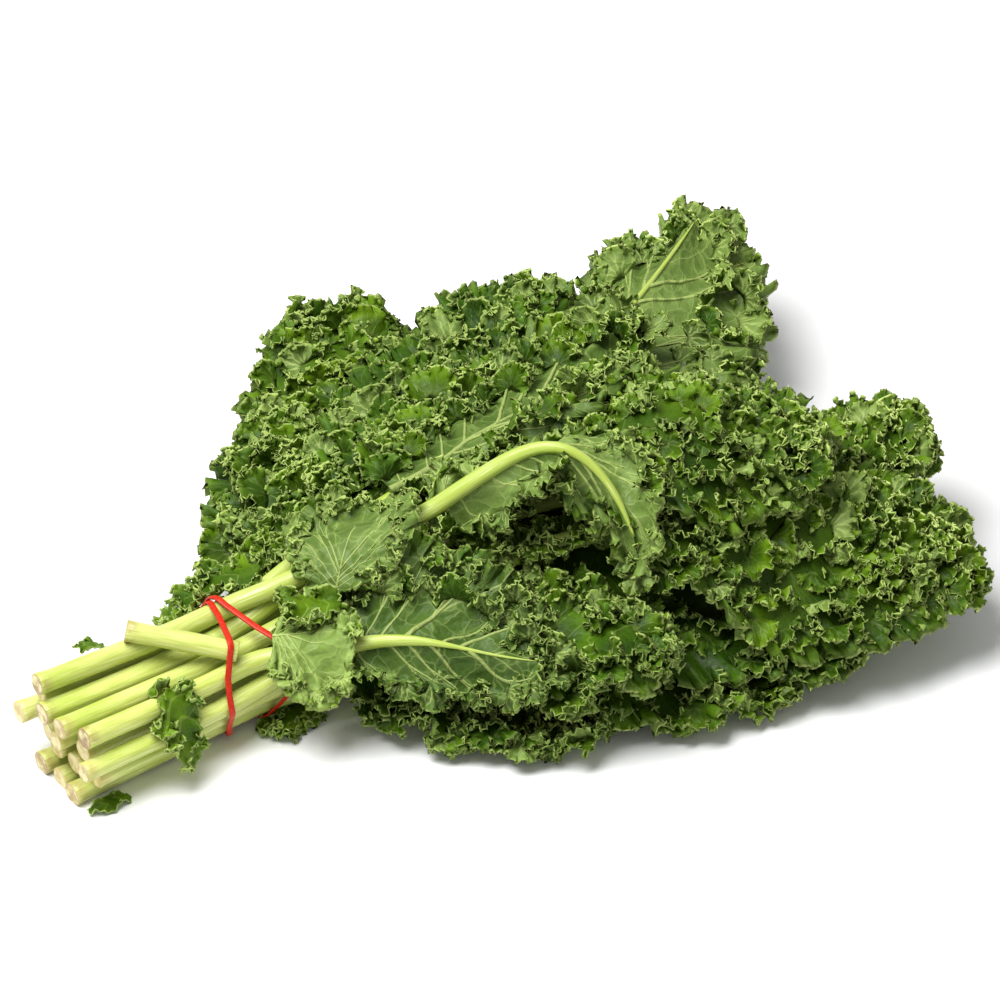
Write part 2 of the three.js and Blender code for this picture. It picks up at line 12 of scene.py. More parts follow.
import bpy
import numpy as np
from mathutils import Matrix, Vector


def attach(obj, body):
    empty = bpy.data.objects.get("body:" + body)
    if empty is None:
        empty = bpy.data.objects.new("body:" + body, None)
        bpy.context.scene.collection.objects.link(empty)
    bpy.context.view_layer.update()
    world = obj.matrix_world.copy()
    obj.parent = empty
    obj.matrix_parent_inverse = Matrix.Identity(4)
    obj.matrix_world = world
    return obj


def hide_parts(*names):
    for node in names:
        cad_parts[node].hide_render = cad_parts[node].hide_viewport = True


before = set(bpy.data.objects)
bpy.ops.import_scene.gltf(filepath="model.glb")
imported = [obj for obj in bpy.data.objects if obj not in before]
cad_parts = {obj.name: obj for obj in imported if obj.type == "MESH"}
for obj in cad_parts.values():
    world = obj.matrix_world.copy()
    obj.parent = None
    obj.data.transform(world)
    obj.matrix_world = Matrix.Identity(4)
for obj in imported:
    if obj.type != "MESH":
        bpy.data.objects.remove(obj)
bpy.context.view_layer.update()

MM = 0.001
# Seeds of the random draws. A leaf's, leaflet's or stalk's number is added to its own.
LEAF_DRAWS, LEAFLET_DRAWS, STALK_DRAWS, BROKEN_DRAWS = 100, 200, 300, 350

# ---- the solids' own shape, by the names that it has in their source ----
STALK_R = 4.7
STALK_SIDES = 8
BLADE_START_SHARE = 0.84
MIDRIB_END_R = 1.1
MIDRIB_SHARE = 0.9
RIB_TAPER = 1.3
RIB_STATIONS = 8
SLOT_PITCH = 10
LEAST_GIRTH = 0.84
CUT_X = -87
CUT_OFFSETS = (-5, 7)
FLAT_TO_X = -46
BUNDLE_SPREAD = 0.2
FREE_FROM = 6
FREE_STATION = 17
CURVE_REACH = 0.36
VEIN_ROOTS = 1.25
VEIN_ENDS = 1.35
LOBE = {"base": 0.16, "fullness": 0.72, "forward": 0.8, "narrowing": 0.12}
FOLD_SHARES = (0.65, 1.15)
SCALLOP = 0.06
BLADE_T = 0.9
PILE_GAP = 0.45
# Their blades' grids: steps round the outline, and rows from midrib to margin.
LEAF_STEPS, LEAF_ROWS = 44, (0, 0.3, 0.68, 1)
LEAFLET_STEPS, LEAFLET_ROWS = 16, (0, 0.55, 1)
SCALLOP_SEED, LEAFLET_SEED = 100, 40  # added to a step's number, and of the first leaflet
SCALLOP_FROM = 0.6  # share from which the scallops set in here

# ---- finer form of the blades ----
SHEET_T = 0.5
SHEET_LOW = 0.05  # least height above the surface
FOLD_KEPT = 0.3  # share of the solids' own folds, the rest of which give way to the ruffles
# Ruffles along a margin: wavelength and height, how far in they reach, and how far they lean over.
RUFFLES = [(11, 4.2, 13, 0.34), (4.4, 1.7, 5.5, 0.4)]
PLEATS = [(10, 3.6, 24, 0.1)]  # of a small fan-shaped blade
LOBE_RUFFLES = [(8.2, 2.7, 8.5, 0.36), (4.3, 1.75, 5, 0.5), (2.1, 0.4, 2.4, 0.45)]
LEAFLET_RUFFLED = 0.6  # a leaflet's ruffles, as a share of a leaf's
STRAY, STRAY_OVER = 1.6, 5  # radians that the waves are early or late by, and in how many wavelengths
SWELL, SWELL_OVER = (0.85, 0.35), 3.1  # their mean height and how much it varies, in how many wavelengths
OCTAVES = (1, 2.3)
CIRCLE = (0, 2 * np.pi)
ONSET = 1.2  # power that holds the waves back to the margin
TEETH = 0.25  # how far the margin's small teeth reach
# Rows of the finer grids, as shares, and how many columns each has.
BASE_ROWS = (0, 0.12, 0.3, 0.5, 0.68, 0.82, 0.93, 1)
BASE_COLUMNS = (36, 36, 36, 72, 72, 144, 288, 576)
VEINED_COLUMNS = (144, 144, 144, 144, 144, 144, 288, 576)
LOBE_ROWS = (0, 0.3, 0.5, 0.68, 0.82, 0.93, 1)
LOBE_COLUMNS = (0, 5, 10, 20, 40, 80, 160)

# Where lobes rise, which way they point and how steeply, in degrees.
BANDS = [(0.78, 1.0), (0.56, 0.84), (0.34, 0.62), (0.14, 0.42), (0.03, 0.3)]
BAND_LIFT = [(-25, 55), (5, 62), (10, 66), (10, 66), (20, 75)]
LOBE_EVERY, LOBE_STRAY = 12.5, (-0.3, 0.3)  # between lobes along a band, and shares that they stray by
SIDE_BULGE = 1.15  # a band's length, as a share of the blade's
CLUMP_EVERY, CLUMP_SWELL = 34, 0.22  # lobes are larger and lighter in clumps along a band
PETIOLE_EVERY, PETIOLE_LIFT = 4.2, (5, 60)  # lobes along a stalk
PETIOLE_LOBE_AT = (0.5, 0.6)  # radii aside and above the stalk's centre
LOBE_REACH = (7.5, 12.5)
LEAFLET_LOBE_REACH = (4.5, 7.5)
LEAFLET_BAND, LEAFLET_LIFT, LEAFLET_STRAY = (0.72, 1.0), (-30, 45), (-0.2, 0.2)
LEAFLET_TONES = (0.5, 1)
LOBE_TWIST = 38
LOBE_BESIDE = 0.5  # steps on either side of a lobe between which its blade's slope is read
LOBE_SPREAD = (95, 130)
LOBE_SIDES, LOBE_ROUND = 0.7, 0.9  # length of a lobe's sides as a share of its middle's, and how soon reached
NOTCH_DEPTH, NOTCHES = 0.1, 3.1  # shallow notches round its margin
CUP = (-0.25, 0.3)
LOBE_FOLD, LOBE_FOLDS = 0.26, (2.3, 3.4)  # height of its large folds, and how closely they follow
LOBE_STRENGTH = (0.85, 1.15)  # of its ruffles
LOBE_VEINS = 7
LOBE_TONES, EDGE_TONES = (-0.2, 0.2), (-0.25, 0.25)  # how lobes differ on a blade, and by a stalk or leaflet
UNTURNED = 0.8  # share of lobes that show the same side as their leaf
BARE_CHANCE = 0.06
NARROWEST = 9  # lobes reach at least this far from the midrib
COVER_CELL = 4  # grid for finding what is buried in the heap
COVER_LOW, COVER_SIZE = (-60.0, -190.0), (420, 400)
COVER_STEPS, COVER_SHARES = 161, 16  # points of a blade that are marked on it
BURIED_AROUND, BURIED_UNDER = 13, 3  # how far round a lobe and how far above it the other leaves lie

# Side veins: steps between them, how near the base one starts as a share of where it ends, how deep the
# blade sags between them, and their radii.
LEAF_VEINS = dict(every=2.75, lean=0.82, sag=2.4, radii=(0.8, 0.25))
LEAFLET_VEINS = dict(every=1.6, lean=0.3, sag=1.2, radii=(0.4, 0.15))
VEIN_SIDES, VEIN_POINTS = 5, 12
VEIN_END_SHARE = 0.78
VEIN_UNEVEN = 0.25  # how far a side vein stands from its even place
UNEVEN_RATE, UNEVEN_SHIFT = 2.1, 2.4  # radians from one vein to the next, and from one half to the other
PAST_TIP = -0.5  # least place between veins, where 0 is at the tip
SHEET_RIB_R, LEAFLET_RIB_R = (2.2, 0.5), (0.7, 0.25)
FORK = 1.9  # how much thicker a side vein is where the midrib forks
TIP_VEIN_R = 1.5  # share of their radius that side veins have by the tip, which falls by 1 to the base
SAG_FROM, SAG_TO = (0.02, 0.25), (0.7, 0.95)  # shares over which the sag begins and ends
BRANCH_AT, BRANCH_TO = 0.35, 1.1  # where a vein branches, and steps nearer the base that the branch ends
BRANCH_R, BRANCH_STOP = 0.6, 0.3  # share of the vein's radius, and steps that it stops short of the base
RIB_STOP, RIB_STRIDE = 40, 8  # columns from a raised midrib's end to the tip, and between its rings
# What the materials read on a raised vein: it lies on a drawn one, far from any rim.
ON_VEIN, VEIN_OUT = (0, 3, 99), 0.1
# The materials paint a highlight on rims and shade inside lobes and blades by the distance from the margin.
NARROW = 8  # least half width that the distance from the margin is measured by
INSIDE = (2, 0.085)  # most that this distance comes to: a plain part, and a share of half the width
RIB_BLEND, UNDER_BLEND = 0.22, 0.4  # share over which an upper or under face bends to meet the midrib
RIB_SHOWS = 0.8  # how far the midrib's top stands through an upper face
RIB_SUNK = 0.35  # how many of its radii an under face lies below the midrib's centre

# ---- leaves and leaflets ----


def grow(slot, tip, aim, start, half, tone, bands, **more):
    usual = dict(leave=0, right=1, up=True, sheet=None, every=LOBE_EVERY, petiole=0)
    usual.update(veins=LEAF_VEINS["every"], rib=1, fork=0, fade=0)
    leaf = dict(slot=slot, tip=tip, aim=aim, start=start, half=half, tone=tone, bands=bands)
    return SimpleNamespace(**{**usual, **leaf, **more})


# Leaves from the bottom of the pile to its top. As in the solids: slot in the bundle, tip, direction there,
# where the blade starts, half its width, and at times leave, the direction at the band, and right, the right
# half's share of the left's width. tone: from deep bluish to light yellowish green. bands: rows of lobes on
# each side of the midrib, from the margin inwards. Further words, for the leaves that need them:
#   up: False where the leaf shows its under side.  sheet: tone of a sheet that does, below lobes that don't.
#   every: distance between the lobes of a band.  petiole: lobes along the stalk, before the blade begins.
#   veins: steps between side veins.  rib: the midrib's thickness, as a share of the usual.
#   fork: which side vein from the tip is a thick fork of the midrib.  fade: how much the midrib thins there.
LEAVES = [
    grow((0, -1), (112, -106), -58, 42, 34, 0.4, 3, right=0.9),
    grow((0, 0), (266, -28), -10, 100, 48, 0.4, 3),
    grow((0, 1), (235, 94), 34, 88, 46, 0.4, 3),
    grow((1, -1.5), (196, -124), -46, 84, 42, 0.45, 3),
    grow((1, 0.5), (272, 18), 6, 128, 44, 0.3, 4),
    grow((1, 1.5), (147, 157), 70, 60, 46, 0.6, 4),
    grow((1, -0.5), (244, -128), -42, 112, 46, 0.35, 4),
    grow((2, -2), (140, -114), -52, 98, 26, 0.4, 3),
    grow((2, 1), (310, 112), 34, 176, 38, 0.38, 2, right=1.4, up=False, rib=0.5),
    grow((2, 2), (90, 108), 80, 38, 38, 0.5, 5),
    grow((2, 0), (308, -58), -12, 160, 42, 0.5, 3, every=11.5),
    grow((2, -1), (284, -126), -28, 160, 46, 0.6, 4, every=10.5, petiole=16),
    grow((3, 1.5), (220, 114), 40, 66, 46, 0.25, 4),
    grow((3, -0.5), (246, -72), -34, 140, 46, 0.65, 4, every=11.5, petiole=9),
    grow((3, 0.5), (232, 48), 14, 86, 42, 0.45, 3, leave=4, sheet=0.15),
    grow((4, 1), (144, -84), -104, 88, 26, 0.45, 1, leave=-16, right=0.4, up=False),
    # The last leaf's deep tone of 0 stands partly for the shade that it lies in: painted shade.
    grow((3, -1.5), (94, -96), -48, 30, 38, 0.0, 2, leave=-34, right=0.25, up=False,
         rib=0.8, veins=3.4, fork=3, fade=0.6),
]


def tear(base, tip, half, aim, lobes=0, frill=1, **more):
    leaflet = dict(base=base, tip=tip, half=half, aim=aim, lobes=lobes, frill=frill, tone=None, up=True)
    return SimpleNamespace(**{**leaflet, **more})


# Leaflets, as in the solids: base, tip, half the width, direction at the tip. lobes: how many stand near the
# margin. frill: how strongly it is ruffled. tone is drawn where none is given.
LEAFLETS = [
    tear((30, -12), (2, -22), 8, 200, 9, 0.7),
    tear((4, -20), (30, -42), 18, -30, 11, tone=0.95, up=False),
    tear((36, -18), (70, 14), 27, 56, 15, tone=0.25, up=False),
    tear((34, -26), (12, -14), 9, 160, 4),
    tear((-47, -18), (-42, -32), 9, -80, 6),
    tear((-68, -22.5), (-88, -23.5), 4.5, 186, frill=0.8),
    tear((-42, -10), (-52, -15), 4, 200, frill=0.5),
    tear((-52, 20), (-64, 23), 4.5, 170, frill=0.6),
    tear((26, 24), (-14, 40), 14, 140, 14),
]

# ---- numbers and lines ----

LINE_POINTS = 401  # that a line's length is measured by


def lerp(a, b, t):
    return a + (b - a) * t


def chance(a, b):
    """A number from 0 to 1 that stays the same for the same a and b, as in the solids' source."""
    s = np.sin(a * 12.9898 + b * 78.233) * 43758.5453
    return s - np.floor(s)


def fold(seed, step):
    return np.where(step % 2 == 1, 1.0, -1.0) * lerp(*FOLD_SHARES, chance(seed, step))


def smooth(low, high, x):
    t = np.clip((x - low) / (high - low), 0, 1)
    return t * t * (3 - 2 * t)


def unit(vectors):
    return vectors / np.maximum(np.linalg.norm(vectors, axis=-1, keepdims=True), 1e-9)


def through(values, at):
    """Smooth curve through evenly spaced values, read at fractional places. The last axis is the line."""
    count = values.shape[-1]
    k = np.clip(np.floor(at).astype(int), 0, count - 2)
    t = at - k
    a, b, c, d = (values[..., np.clip(k + n, 0, count - 1)] for n in (-1, 0, 1, 2))
    return b + 0.5 * t * (c - a + t * (2 * a - 5 * b + 4 * c - d + t * (3 * (b - c) + d - a)))


def direction(degrees):
    return np.array([math.cos(math.radians(degrees)), math.sin(math.radians(degrees))])


def turned(a, b, degrees):
    """Two directions, turned together from the first towards the second."""
    along, aside = direction(degrees)
    return a * along + b * aside, b * along - a * aside


def run_along(points):
    """How far along a line each of its points is."""
    return np.concatenate([[0], np.cumsum(np.linalg.norm(np.diff(points, axis=0), axis=1))])


def frames_along(path):
    """Directions along, across and above a path at each of its points."""
    along = unit(np.gradient(path, axis=0))
    across = unit(np.stack([-along[:, 1], along[:, 0], np.zeros(len(along))], 1))
    return along, across, np.cross(along, across)


def towards_tip(step, steps):
    """How far a step round a blade's outline is from its base, 0, to its tip, 1."""
    return 1 - np.abs(1 - 2 * step / steps)


class Line:
    """A line seen from above, which leaves one point and reaches the other in given directions."""

    def __init__(self, start, end, leave, arrive):
        start, end = np.array(start, float), np.array(end, float)
        reach = CURVE_REACH * np.linalg.norm(end - start)
        self.handles = (start, start + reach * direction(leave), end - reach * direction(arrive), end)
        self.t = np.linspace(0, 1, LINE_POINTS)
        self.run = run_along(self.point(self.t))
        self.length = self.run[-1]

    def point(self, t):
        t = np.asarray(t, float)[..., None]
        a, b, c, d = self.handles
        return (1 - t) ** 3 * a + 3 * t * (1 - t) ** 2 * b + 3 * t**2 * (1 - t) * c + t**3 * d

    def at(self, s):
        """Points and sideways directions at distances along the line, straight on beyond its ends."""
        t = np.interp(s, self.run, self.t)
        a, b, c, d = self.handles
        u = t[..., None]
        along = unit(3 * (1 - u) ** 2 * (b - a) + 6 * u * (1 - u) * (c - b) + 3 * u**2 * (d - c))
        beyond = s - np.clip(s, 0, self.length)
        point = self.point(t) + along * beyond[..., None]
        return point, np.stack([-along[..., 1], along[..., 0]], -1)


# ---- what the solids say ----

END_FACE = 0.1  # how far a stalk's cut face reaches along x
SAME_POINT = 0.02  # how far apart, from above, a blade's upper and lower vertex may be


def cad_vertices(node):
    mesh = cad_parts[node].data
    found = np.empty(len(mesh.vertices) * 3, np.float32)
    mesh.vertices.foreach_get("co", found)
    return found.reshape(-1, 3).astype(float) / MM


def find_shift():
    """From the bunch's own frame to the part's: the stalk in the middle of the lowest row gives it."""
    found = cad_vertices("stalk_02")
    end = found[found[:, 0] < found[:, 0].min() + END_FACE]
    return np.array([end[:, 0].mean() - LEAVES[1].cut, end[:, 1].mean(), 0])


for number, leaf in enumerate(LEAVES):
    leaf.number, leaf.label = number, f"{number + 1:02d}"
    leaf.line = Line((0, leaf.slot[1] * SLOT_PITCH), leaf.tip, leaf.leave, leaf.aim)
    leaf.cut = CUT_X + lerp(*CUT_OFFSETS, chance(number, 3))
    leaf.r = STALK_R * (lerp(LEAST_GIRTH, 1, chance(number, 7)) if leaf.slot[0] else 1)
shift = find_shift()

# ---- meshes ----


def put_in_scene(name, data):
    thing = bpy.data.objects.new(name, data)
    bpy.context.scene.collection.objects.link(thing)
    return thing


class Mesh:
    """Vertices, faces and the values that the materials read, gathered for one piece, with its own random
    draws and its tone."""

    def __init__(self, seed=0):
        self.draw = np.random.default_rng(seed).uniform
        self.tone = 0
        self.points, self.faces, self.first, self.second = [], [], [], []
        self.count = 0

    def add(self, points, faces, first, second):
        self.points.append(points)
        self.faces.append(np.asarray(faces) + self.count)
        self.first.append(np.broadcast_to(first, points.shape))
        self.second.append(np.broadcast_to(second, points.shape))
        self.count += len(points)

    def shade(self, limits, more=0):
        """A tone near the piece's own."""
        return np.clip(self.tone + self.draw(*limits) + more, 0, 1)

    def make(self, name, node, material):
        mesh = bpy.data.meshes.new(name)
        points = (np.concatenate(self.points) + shift) * MM
        mesh.from_pydata(points.tolist(), [], np.concatenate(self.faces).tolist())
        for key, values in (("first", self.first), ("second", self.second)):
            layer = mesh.attributes.new(key, "FLOAT_VECTOR", "POINT")
            layer.data.foreach_set("vector", np.concatenate(values).astype(np.float32).ravel())
        mesh.shade_smooth()
        mesh.materials.append(material)
        piece = put_in_scene(name, mesh)
        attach(piece, "root")
        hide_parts(node)


def tube_faces(rings, sides, closed=False):
    """Faces between a tube's rings, and from the last to the first where it is closed."""
    k, i = np.meshgrid(np.arange(rings if closed else rings - 1), np.arange(sides), indexing="ij")
    corners = ((0, 0), (1, 0), (1, 1), (0, 1))
    a, b, c, d = (((k + dk) % rings * sides + (i + di) % sides).ravel() for dk, di in corners)
    return np.concatenate([np.stack([a, b, c], 1), np.stack([a, c, d], 1)])


def lattice(columns, seam):
    """Faces, seen from above, between rows whose columns stay the same or double, and each vertex's place
    in the grid.

    The first row's two halves are one line where seam is true, and the first row is one point where it
    has no columns."""
    full = columns[-1]
    start, rows, places = 0, [], []
    for row, count in enumerate(columns):
        numbers = np.arange(count + 1)
        if row == 0 and seam:
            numbers = np.minimum(numbers, numbers[::-1])
        kept = numbers.max() + 1
        places += [(row, c * (full // count) if count else full // 2) for c in range(kept)]
        rows.append(start + numbers)
        start += kept
    faces = []
    for low, high in zip(rows, rows[1:]):
        if len(low) == 1:
            faces.append(np.stack([np.zeros_like(high[:-1]), high[:-1], high[1:]], 1))
            continue
        finer = (len(high) - 1) // (len(low) - 1)
        here, ahead = high[:-1:finer], high[1::finer]
        faces += [np.stack([low[:-1], here, ahead], 1), np.stack([low[:-1], ahead, low[1:]], 1)]
        if finer == 2:
            faces.append(np.stack([low[1:], ahead, high[2::2]], 1))
    faces = np.concatenate(faces)
    return faces[:, ::-1] if seam else faces, np.array(places)


def rim_of(faces):
    """Vertices on the open edge."""
    edges = np.concatenate([faces[:, [0, 1]], faces[:, [1, 2]], faces[:, [2, 0]]])
    keys, counts = np.unique(np.sort(edges, 1), axis=0, return_counts=True)
    return np.unique(keys[counts == 1])


def sheet_of(columns, seam=True):
    """How many columns a sheet's margin has, its faces, their places in the grid and its rim."""
    faces, places = lattice(columns, seam)
    return columns[-1], faces, places, rim_of(faces)


def for_leaflet(columns):
    return tuple(count * 2 // 3 for count in columns)


BASE, VEINED = sheet_of(BASE_COLUMNS), sheet_of(VEINED_COLUMNS)
SMALL, SMALL_VEINED = sheet_of(for_leaflet(BASE_COLUMNS)), sheet_of(for_leaflet(VEINED_COLUMNS))
FAN = sheet_of(LOBE_COLUMNS, seam=False)


def two_sided(mesh, grid, pattern, first, shares, tone, upper_first):
    """Adds a closed thin sheet: two layers that meet along the rim. first holds each grid point's vein
    place, spacing of veins and distance from the margin."""
    _, faces, places, rim = pattern
    at = places[:, 0], places[:, 1]
    points, values, out = grid[at], first[at], shares[at[0]]
    a, b, c = (points[faces[:, k]] for k in range(3))
    face_normals = np.cross(b - a, c - a)
    normals = np.zeros_like(points)
    for k in range(3):
        np.add.at(normals, faces[:, k], face_normals)
    inner = np.ones(len(points), bool)
    inner[rim] = False
    lower = np.arange(len(points))
    lower[inner] = len(points) + np.arange(inner.sum())
    offset = unit(normals) * np.where(inner, SHEET_T / 2, 0)[:, None]
    both = np.concatenate([points + offset, (points - offset)[inner]])
    both[:, 2] = np.maximum(both[:, 2], SHEET_LOW)
    side = np.full(len(both), float(not upper_first))
    side[: len(points)] = float(upper_first)
    side[rim] = 0.5
    second = np.stack([side, np.full(len(both), tone), np.concatenate([out, out[inner]])], 1)
    faces = np.concatenate([faces, lower[faces][:, ::-1]])
    mesh.add(both, faces, np.concatenate([values, values[inner]]), second)


def wander(run, length, draw):
    """Slow uneven drift along the margin, about -1 to 1."""
    return sum(np.sin(2 * np.pi * run / (length * octave) + draw(*CIRCLE)) / 2 for octave in OCTAVES)


def ruffle(grid, shares, reach, levels, draw, strength=1.0):
    """Buckles the outer rows into waves along the margin, each leaning over as it rises."""
    for length, height, depth, lean in levels:
        run = run_along(grid[-1])
        phase = 2 * np.pi * run / length + STRAY * wander(run, STRAY_OVER * length, draw)
        swell = height * strength * (SWELL[0] + SWELL[1] * wander(run, SWELL_OVER * length, draw))
        along = unit(np.gradient(grid, axis=1))
        outward = np.gradient(grid, np.maximum.accumulate(shares + 1e-6 * np.arange(len(shares))), axis=0)
        normal = unit(np.cross(outward, along))
        share = smooth(max(0.0, 1 - depth / reach), 1, shares) ** ONSET
        rise, aside, swell = (wave[:, None] for wave in (np.sin(phase), lean * np.sin(2 * phase), swell))
        grid = grid + share[:, None, None] * swell * (rise * normal + aside * along)
    grid[-1] += TEETH * strength * draw(-1, 1, (grid.shape[1], 1)) * unit(outward[-1])
    return grid


# ---- blades ----


class Blade:
    """A blade's smooth surface: where it lies for a step round the outline and a share out to the margin."""

    def __init__(self, node, line, start, half, right, steps, rows, seed):
        self.node, self.line, self.start, self.half, self.right = node, line, start, half, right
        self.steps, self.rows, self.seed = steps, np.array(rows, float), seed
        self.length = line.length - start
        whole = np.arange(steps + 1)
        self.scallops = SCALLOP * fold(seed, whole + SCALLOP_SEED)
        self.heights = self.read_heights(whole)

    def plan(self, step, share):
        q = towards_tip(step, self.steps)
        width = self.half * np.where(2 * step <= self.steps, 1, -self.right)
        bulge = np.sin(np.pi * q ** LOBE["forward"]) ** LOBE["fullness"]
        root, end = MIDRIB_SHARE * q**VEIN_ROOTS, 1 - (1 - q) ** VEIN_ENDS
        out = LOBE["base"] * (1 - q) + bulge * (1 - LOBE["narrowing"] * q)
        s = self.start + self.length * (root + (end - root) * share)
        point, side = self.line.at(s)
        return point + side * (width * out * share)[..., None], s

    def read_heights(self, whole):
        """Heights halfway through the solid at its own grid points, with its folds partly evened out."""
        solid = cad_vertices(self.node) - shift
        heights = np.empty((len(self.rows), len(whole)))
        for k, row in enumerate(self.rows):
            share = row * (1 + self.scallops) if row == 1 else np.full(len(whole), row)
            points, _ = self.plan(whole.astype(float), share)
            for step, point in enumerate(points):
                apart = np.hypot(*(solid[:, :2] - point).T)
                near = solid[apart < apart.min() + SAME_POINT]
                heights[k, step] = (near[:, 2].min() + near[:, 2].max()) / 2
        even = heights.copy()
        even[:, 1:-1] = (heights[:, :-2] + 2 * heights[:, 1:-1] + heights[:, 2:]) / 4
        return FOLD_KEPT * heights + (1 - FOLD_KEPT) * even

    def surface(self, step, share):
        step, share = np.broadcast_arrays(np.asarray(step, float), np.asarray(share, float))
        out = share * (1 + through(self.scallops, step) * smooth(SCALLOP_FROM, 1, share))
        point, _ = self.plan(step, out)
        along = np.stack([through(row, step) for row in self.heights])
        slopes = np.gradient(along, self.rows, axis=0)
        k = np.clip(np.searchsorted(self.rows, share, side="right") - 1, 0, len(self.rows) - 2)
        width = self.rows[k + 1] - self.rows[k]
        t = (share - self.rows[k]) / width
        a, b, da, db = (
            np.take_along_axis(table, n[None], 0)[0] for table in (along, slopes) for n in (k, k + 1)
        )
        da, db = da * width, db * width
        z = a + t * (da + t * (3 * (b - a) - 2 * da - db + t * (2 * (a - b) + da + db)))
        return np.concatenate([point, z[..., None]], -1)


def even_steps(blade, columns):
    """Steps round the outline, alike on both halves, spaced evenly along the margin."""
    fine = np.linspace(0, blade.steps, 16 * blade.steps + 1)
    rim, _ = blade.plan(fine, np.ones_like(fine))
    gaps = np.linalg.norm(np.diff(rim, axis=0), axis=1)
    run = np.concatenate([[0], np.cumsum((gaps + gaps[::-1]) / 2)])
    return np.interp(np.linspace(0, run[-1], columns + 1), run, fine)


def add_base(mesh, blade, pattern, levels, up, tone, strength=1.0, middle=None, veins=None):
    """The blade itself. middle: how high its middle line stands to meet the midrib, at a distance s and
    where the solid's own middle line has height z."""
    steps = even_steps(blade, pattern[0])
    shares = np.array(BASE_ROWS, float)
    grid = blade.surface(steps[None, :], shares[:, None])
    if middle is not None:
        _, s = blade.plan(steps, np.zeros_like(steps))
        lift = middle(s, grid[0, :, 2]) - grid[0, :, 2]
        grid[..., 2] += (1 - smooth(0, RIB_BLEND if up else UNDER_BLEND, shares))[:, None] * lift
    places = np.broadcast_to(np.abs(steps - blade.steps / 2) / LEAF_VEINS["every"], grid.shape[:2])
    if veins is not None:
        places = vein_place(blade, steps[None, :], shares[:, None], veins)
        window = smooth(*SAG_FROM, shares) * (1 - smooth(*SAG_TO, shares))
        grid[..., 2] -= veins["sag"] * np.sin(np.pi * places) ** 2 * window[:, None]
    grid = ruffle(grid, shares, blade.half, levels, mesh.draw, strength)
    width = np.maximum(NARROW, blade.half * np.sin(np.pi * towards_tip(steps, blade.steps)))
    first = np.empty(grid.shape)
    first[..., 0] = places
    first[..., 1] = LEAF_VEINS["every"] * 2 * blade.length / blade.steps
    first[..., 2] = np.minimum((1 - shares)[:, None] * width, INSIDE[0] + INSIDE[1] * blade.half)
    two_sided(mesh, grid, pattern, first, shares, tone, up)
    return steps, grid


def vein_place(blade, step, share, veins):
    """Where a point lies between the side veins, which are at whole numbers."""
    lean = lerp(veins["lean"], 1, np.minimum(1, share / VEIN_END_SHARE))
    end = towards_tip(step, blade.steps) / lean
    places = np.maximum(blade.steps / 2 * (1 - end) / veins["every"], PAST_TIP)
    return uneven(blade, places, 2 * step > blade.steps)


def uneven(blade, places, far_half):
    """Side veins are a little nearer to each other here and wider apart there, and differ on both halves."""
    phase = blade.seed + UNEVEN_SHIFT * far_half
    return places + VEIN_UNEVEN * smooth(0, 1, places) * np.sin(UNEVEN_RATE * places + phase)


def add_vein(mesh, path, radii, tone):
    """A raised vein along a path on a blade that shows its under side."""
    turn = 2 * np.pi * np.arange(VEIN_SIDES) / VEIN_SIDES
    _, across, above = frames_along(path)
    path = path + SHEET_T / 2 * above
    ring = np.sin(turn)[:, None] * across[:, None] + np.cos(turn)[:, None] * above[:, None]
    points = (path[:, None] + np.linspace(*radii, len(path))[:, None, None] * ring).reshape(-1, 3)
    faces = [tube_faces(len(path), VEIN_SIDES)]
    last = (len(path) - 1) * VEIN_SIDES
    for i in range(1, VEIN_SIDES - 1):
        faces.append(np.array([[0, i, i + 1], [last, last + i + 1, last + i]]))
    mesh.add(points, np.concatenate(faces), ON_VEIN, (0, tone, VEIN_OUT))


def add_veins(mesh, blade, steps, grid, tone, veins, fork=0):
    """Side veins, each from the midrib towards the margin, with a branch."""
    shares = np.array(BASE_ROWS, float)
    middle, every, radii = blade.steps / 2, veins["every"], veins["radii"]
    reach = np.linspace(0, 1, VEIN_POINTS)
    rows = np.interp(VEIN_END_SHARE * reach, shares, np.arange(len(shares)))
    even = np.linspace(0, middle / every, 200)
    for n in range(1, int(middle / every)):
        for hand in (-1, 1):
            end = every * np.interp(n, uneven(blade, even, hand > 0), even)
            size = (TIP_VEIN_R - end / middle) * (FORK if (n, hand) == (fork, -1) else 1)
            branch_end = min(end + BRANCH_TO, middle - BRANCH_STOP)
            branch = end + (branch_end - end) * smooth(BRANCH_AT, 1, reach)
            vein = np.full(VEIN_POINTS, end)
            for ends, begin, part in ((vein, 0, 1), (branch, int(BRANCH_AT * VEIN_POINTS), BRANCH_R)):
                q = (middle - ends) / middle * lerp(veins["lean"], 1, reach)
                columns = np.interp(middle + hand * middle * (1 - q), steps, np.arange(len(steps)))
                path = through_grid(grid, rows, columns)[begin:]
                add_vein(mesh, path, (max(size * part * radii[0], radii[1]), radii[1]), tone)


def through_grid(grid, rows, columns):
    """Points of a grid at fractional rows and whole columns."""
    near = columns.round().astype(int)
    return np.array([through(grid[:, column].T, np.array(row)) for row, column in zip(rows, near)])


def add_veined(mesh, blade, pattern, levels, tone, veins, rib_r, fork=0, **more):
    """A blade that shows its under side, with raised side veins and, where it has radii, a raised midrib."""
    steps, grid = add_base(mesh, blade, pattern, levels, False, tone, veins=veins, **more)
    add_veins(mesh, blade, steps, grid, tone, veins, fork)
    if rib_r:
        add_vein(mesh, grid[0, : len(steps) // 2 - RIB_STOP : RIB_STRIDE], rib_r, tone)


# ---- lobes ----


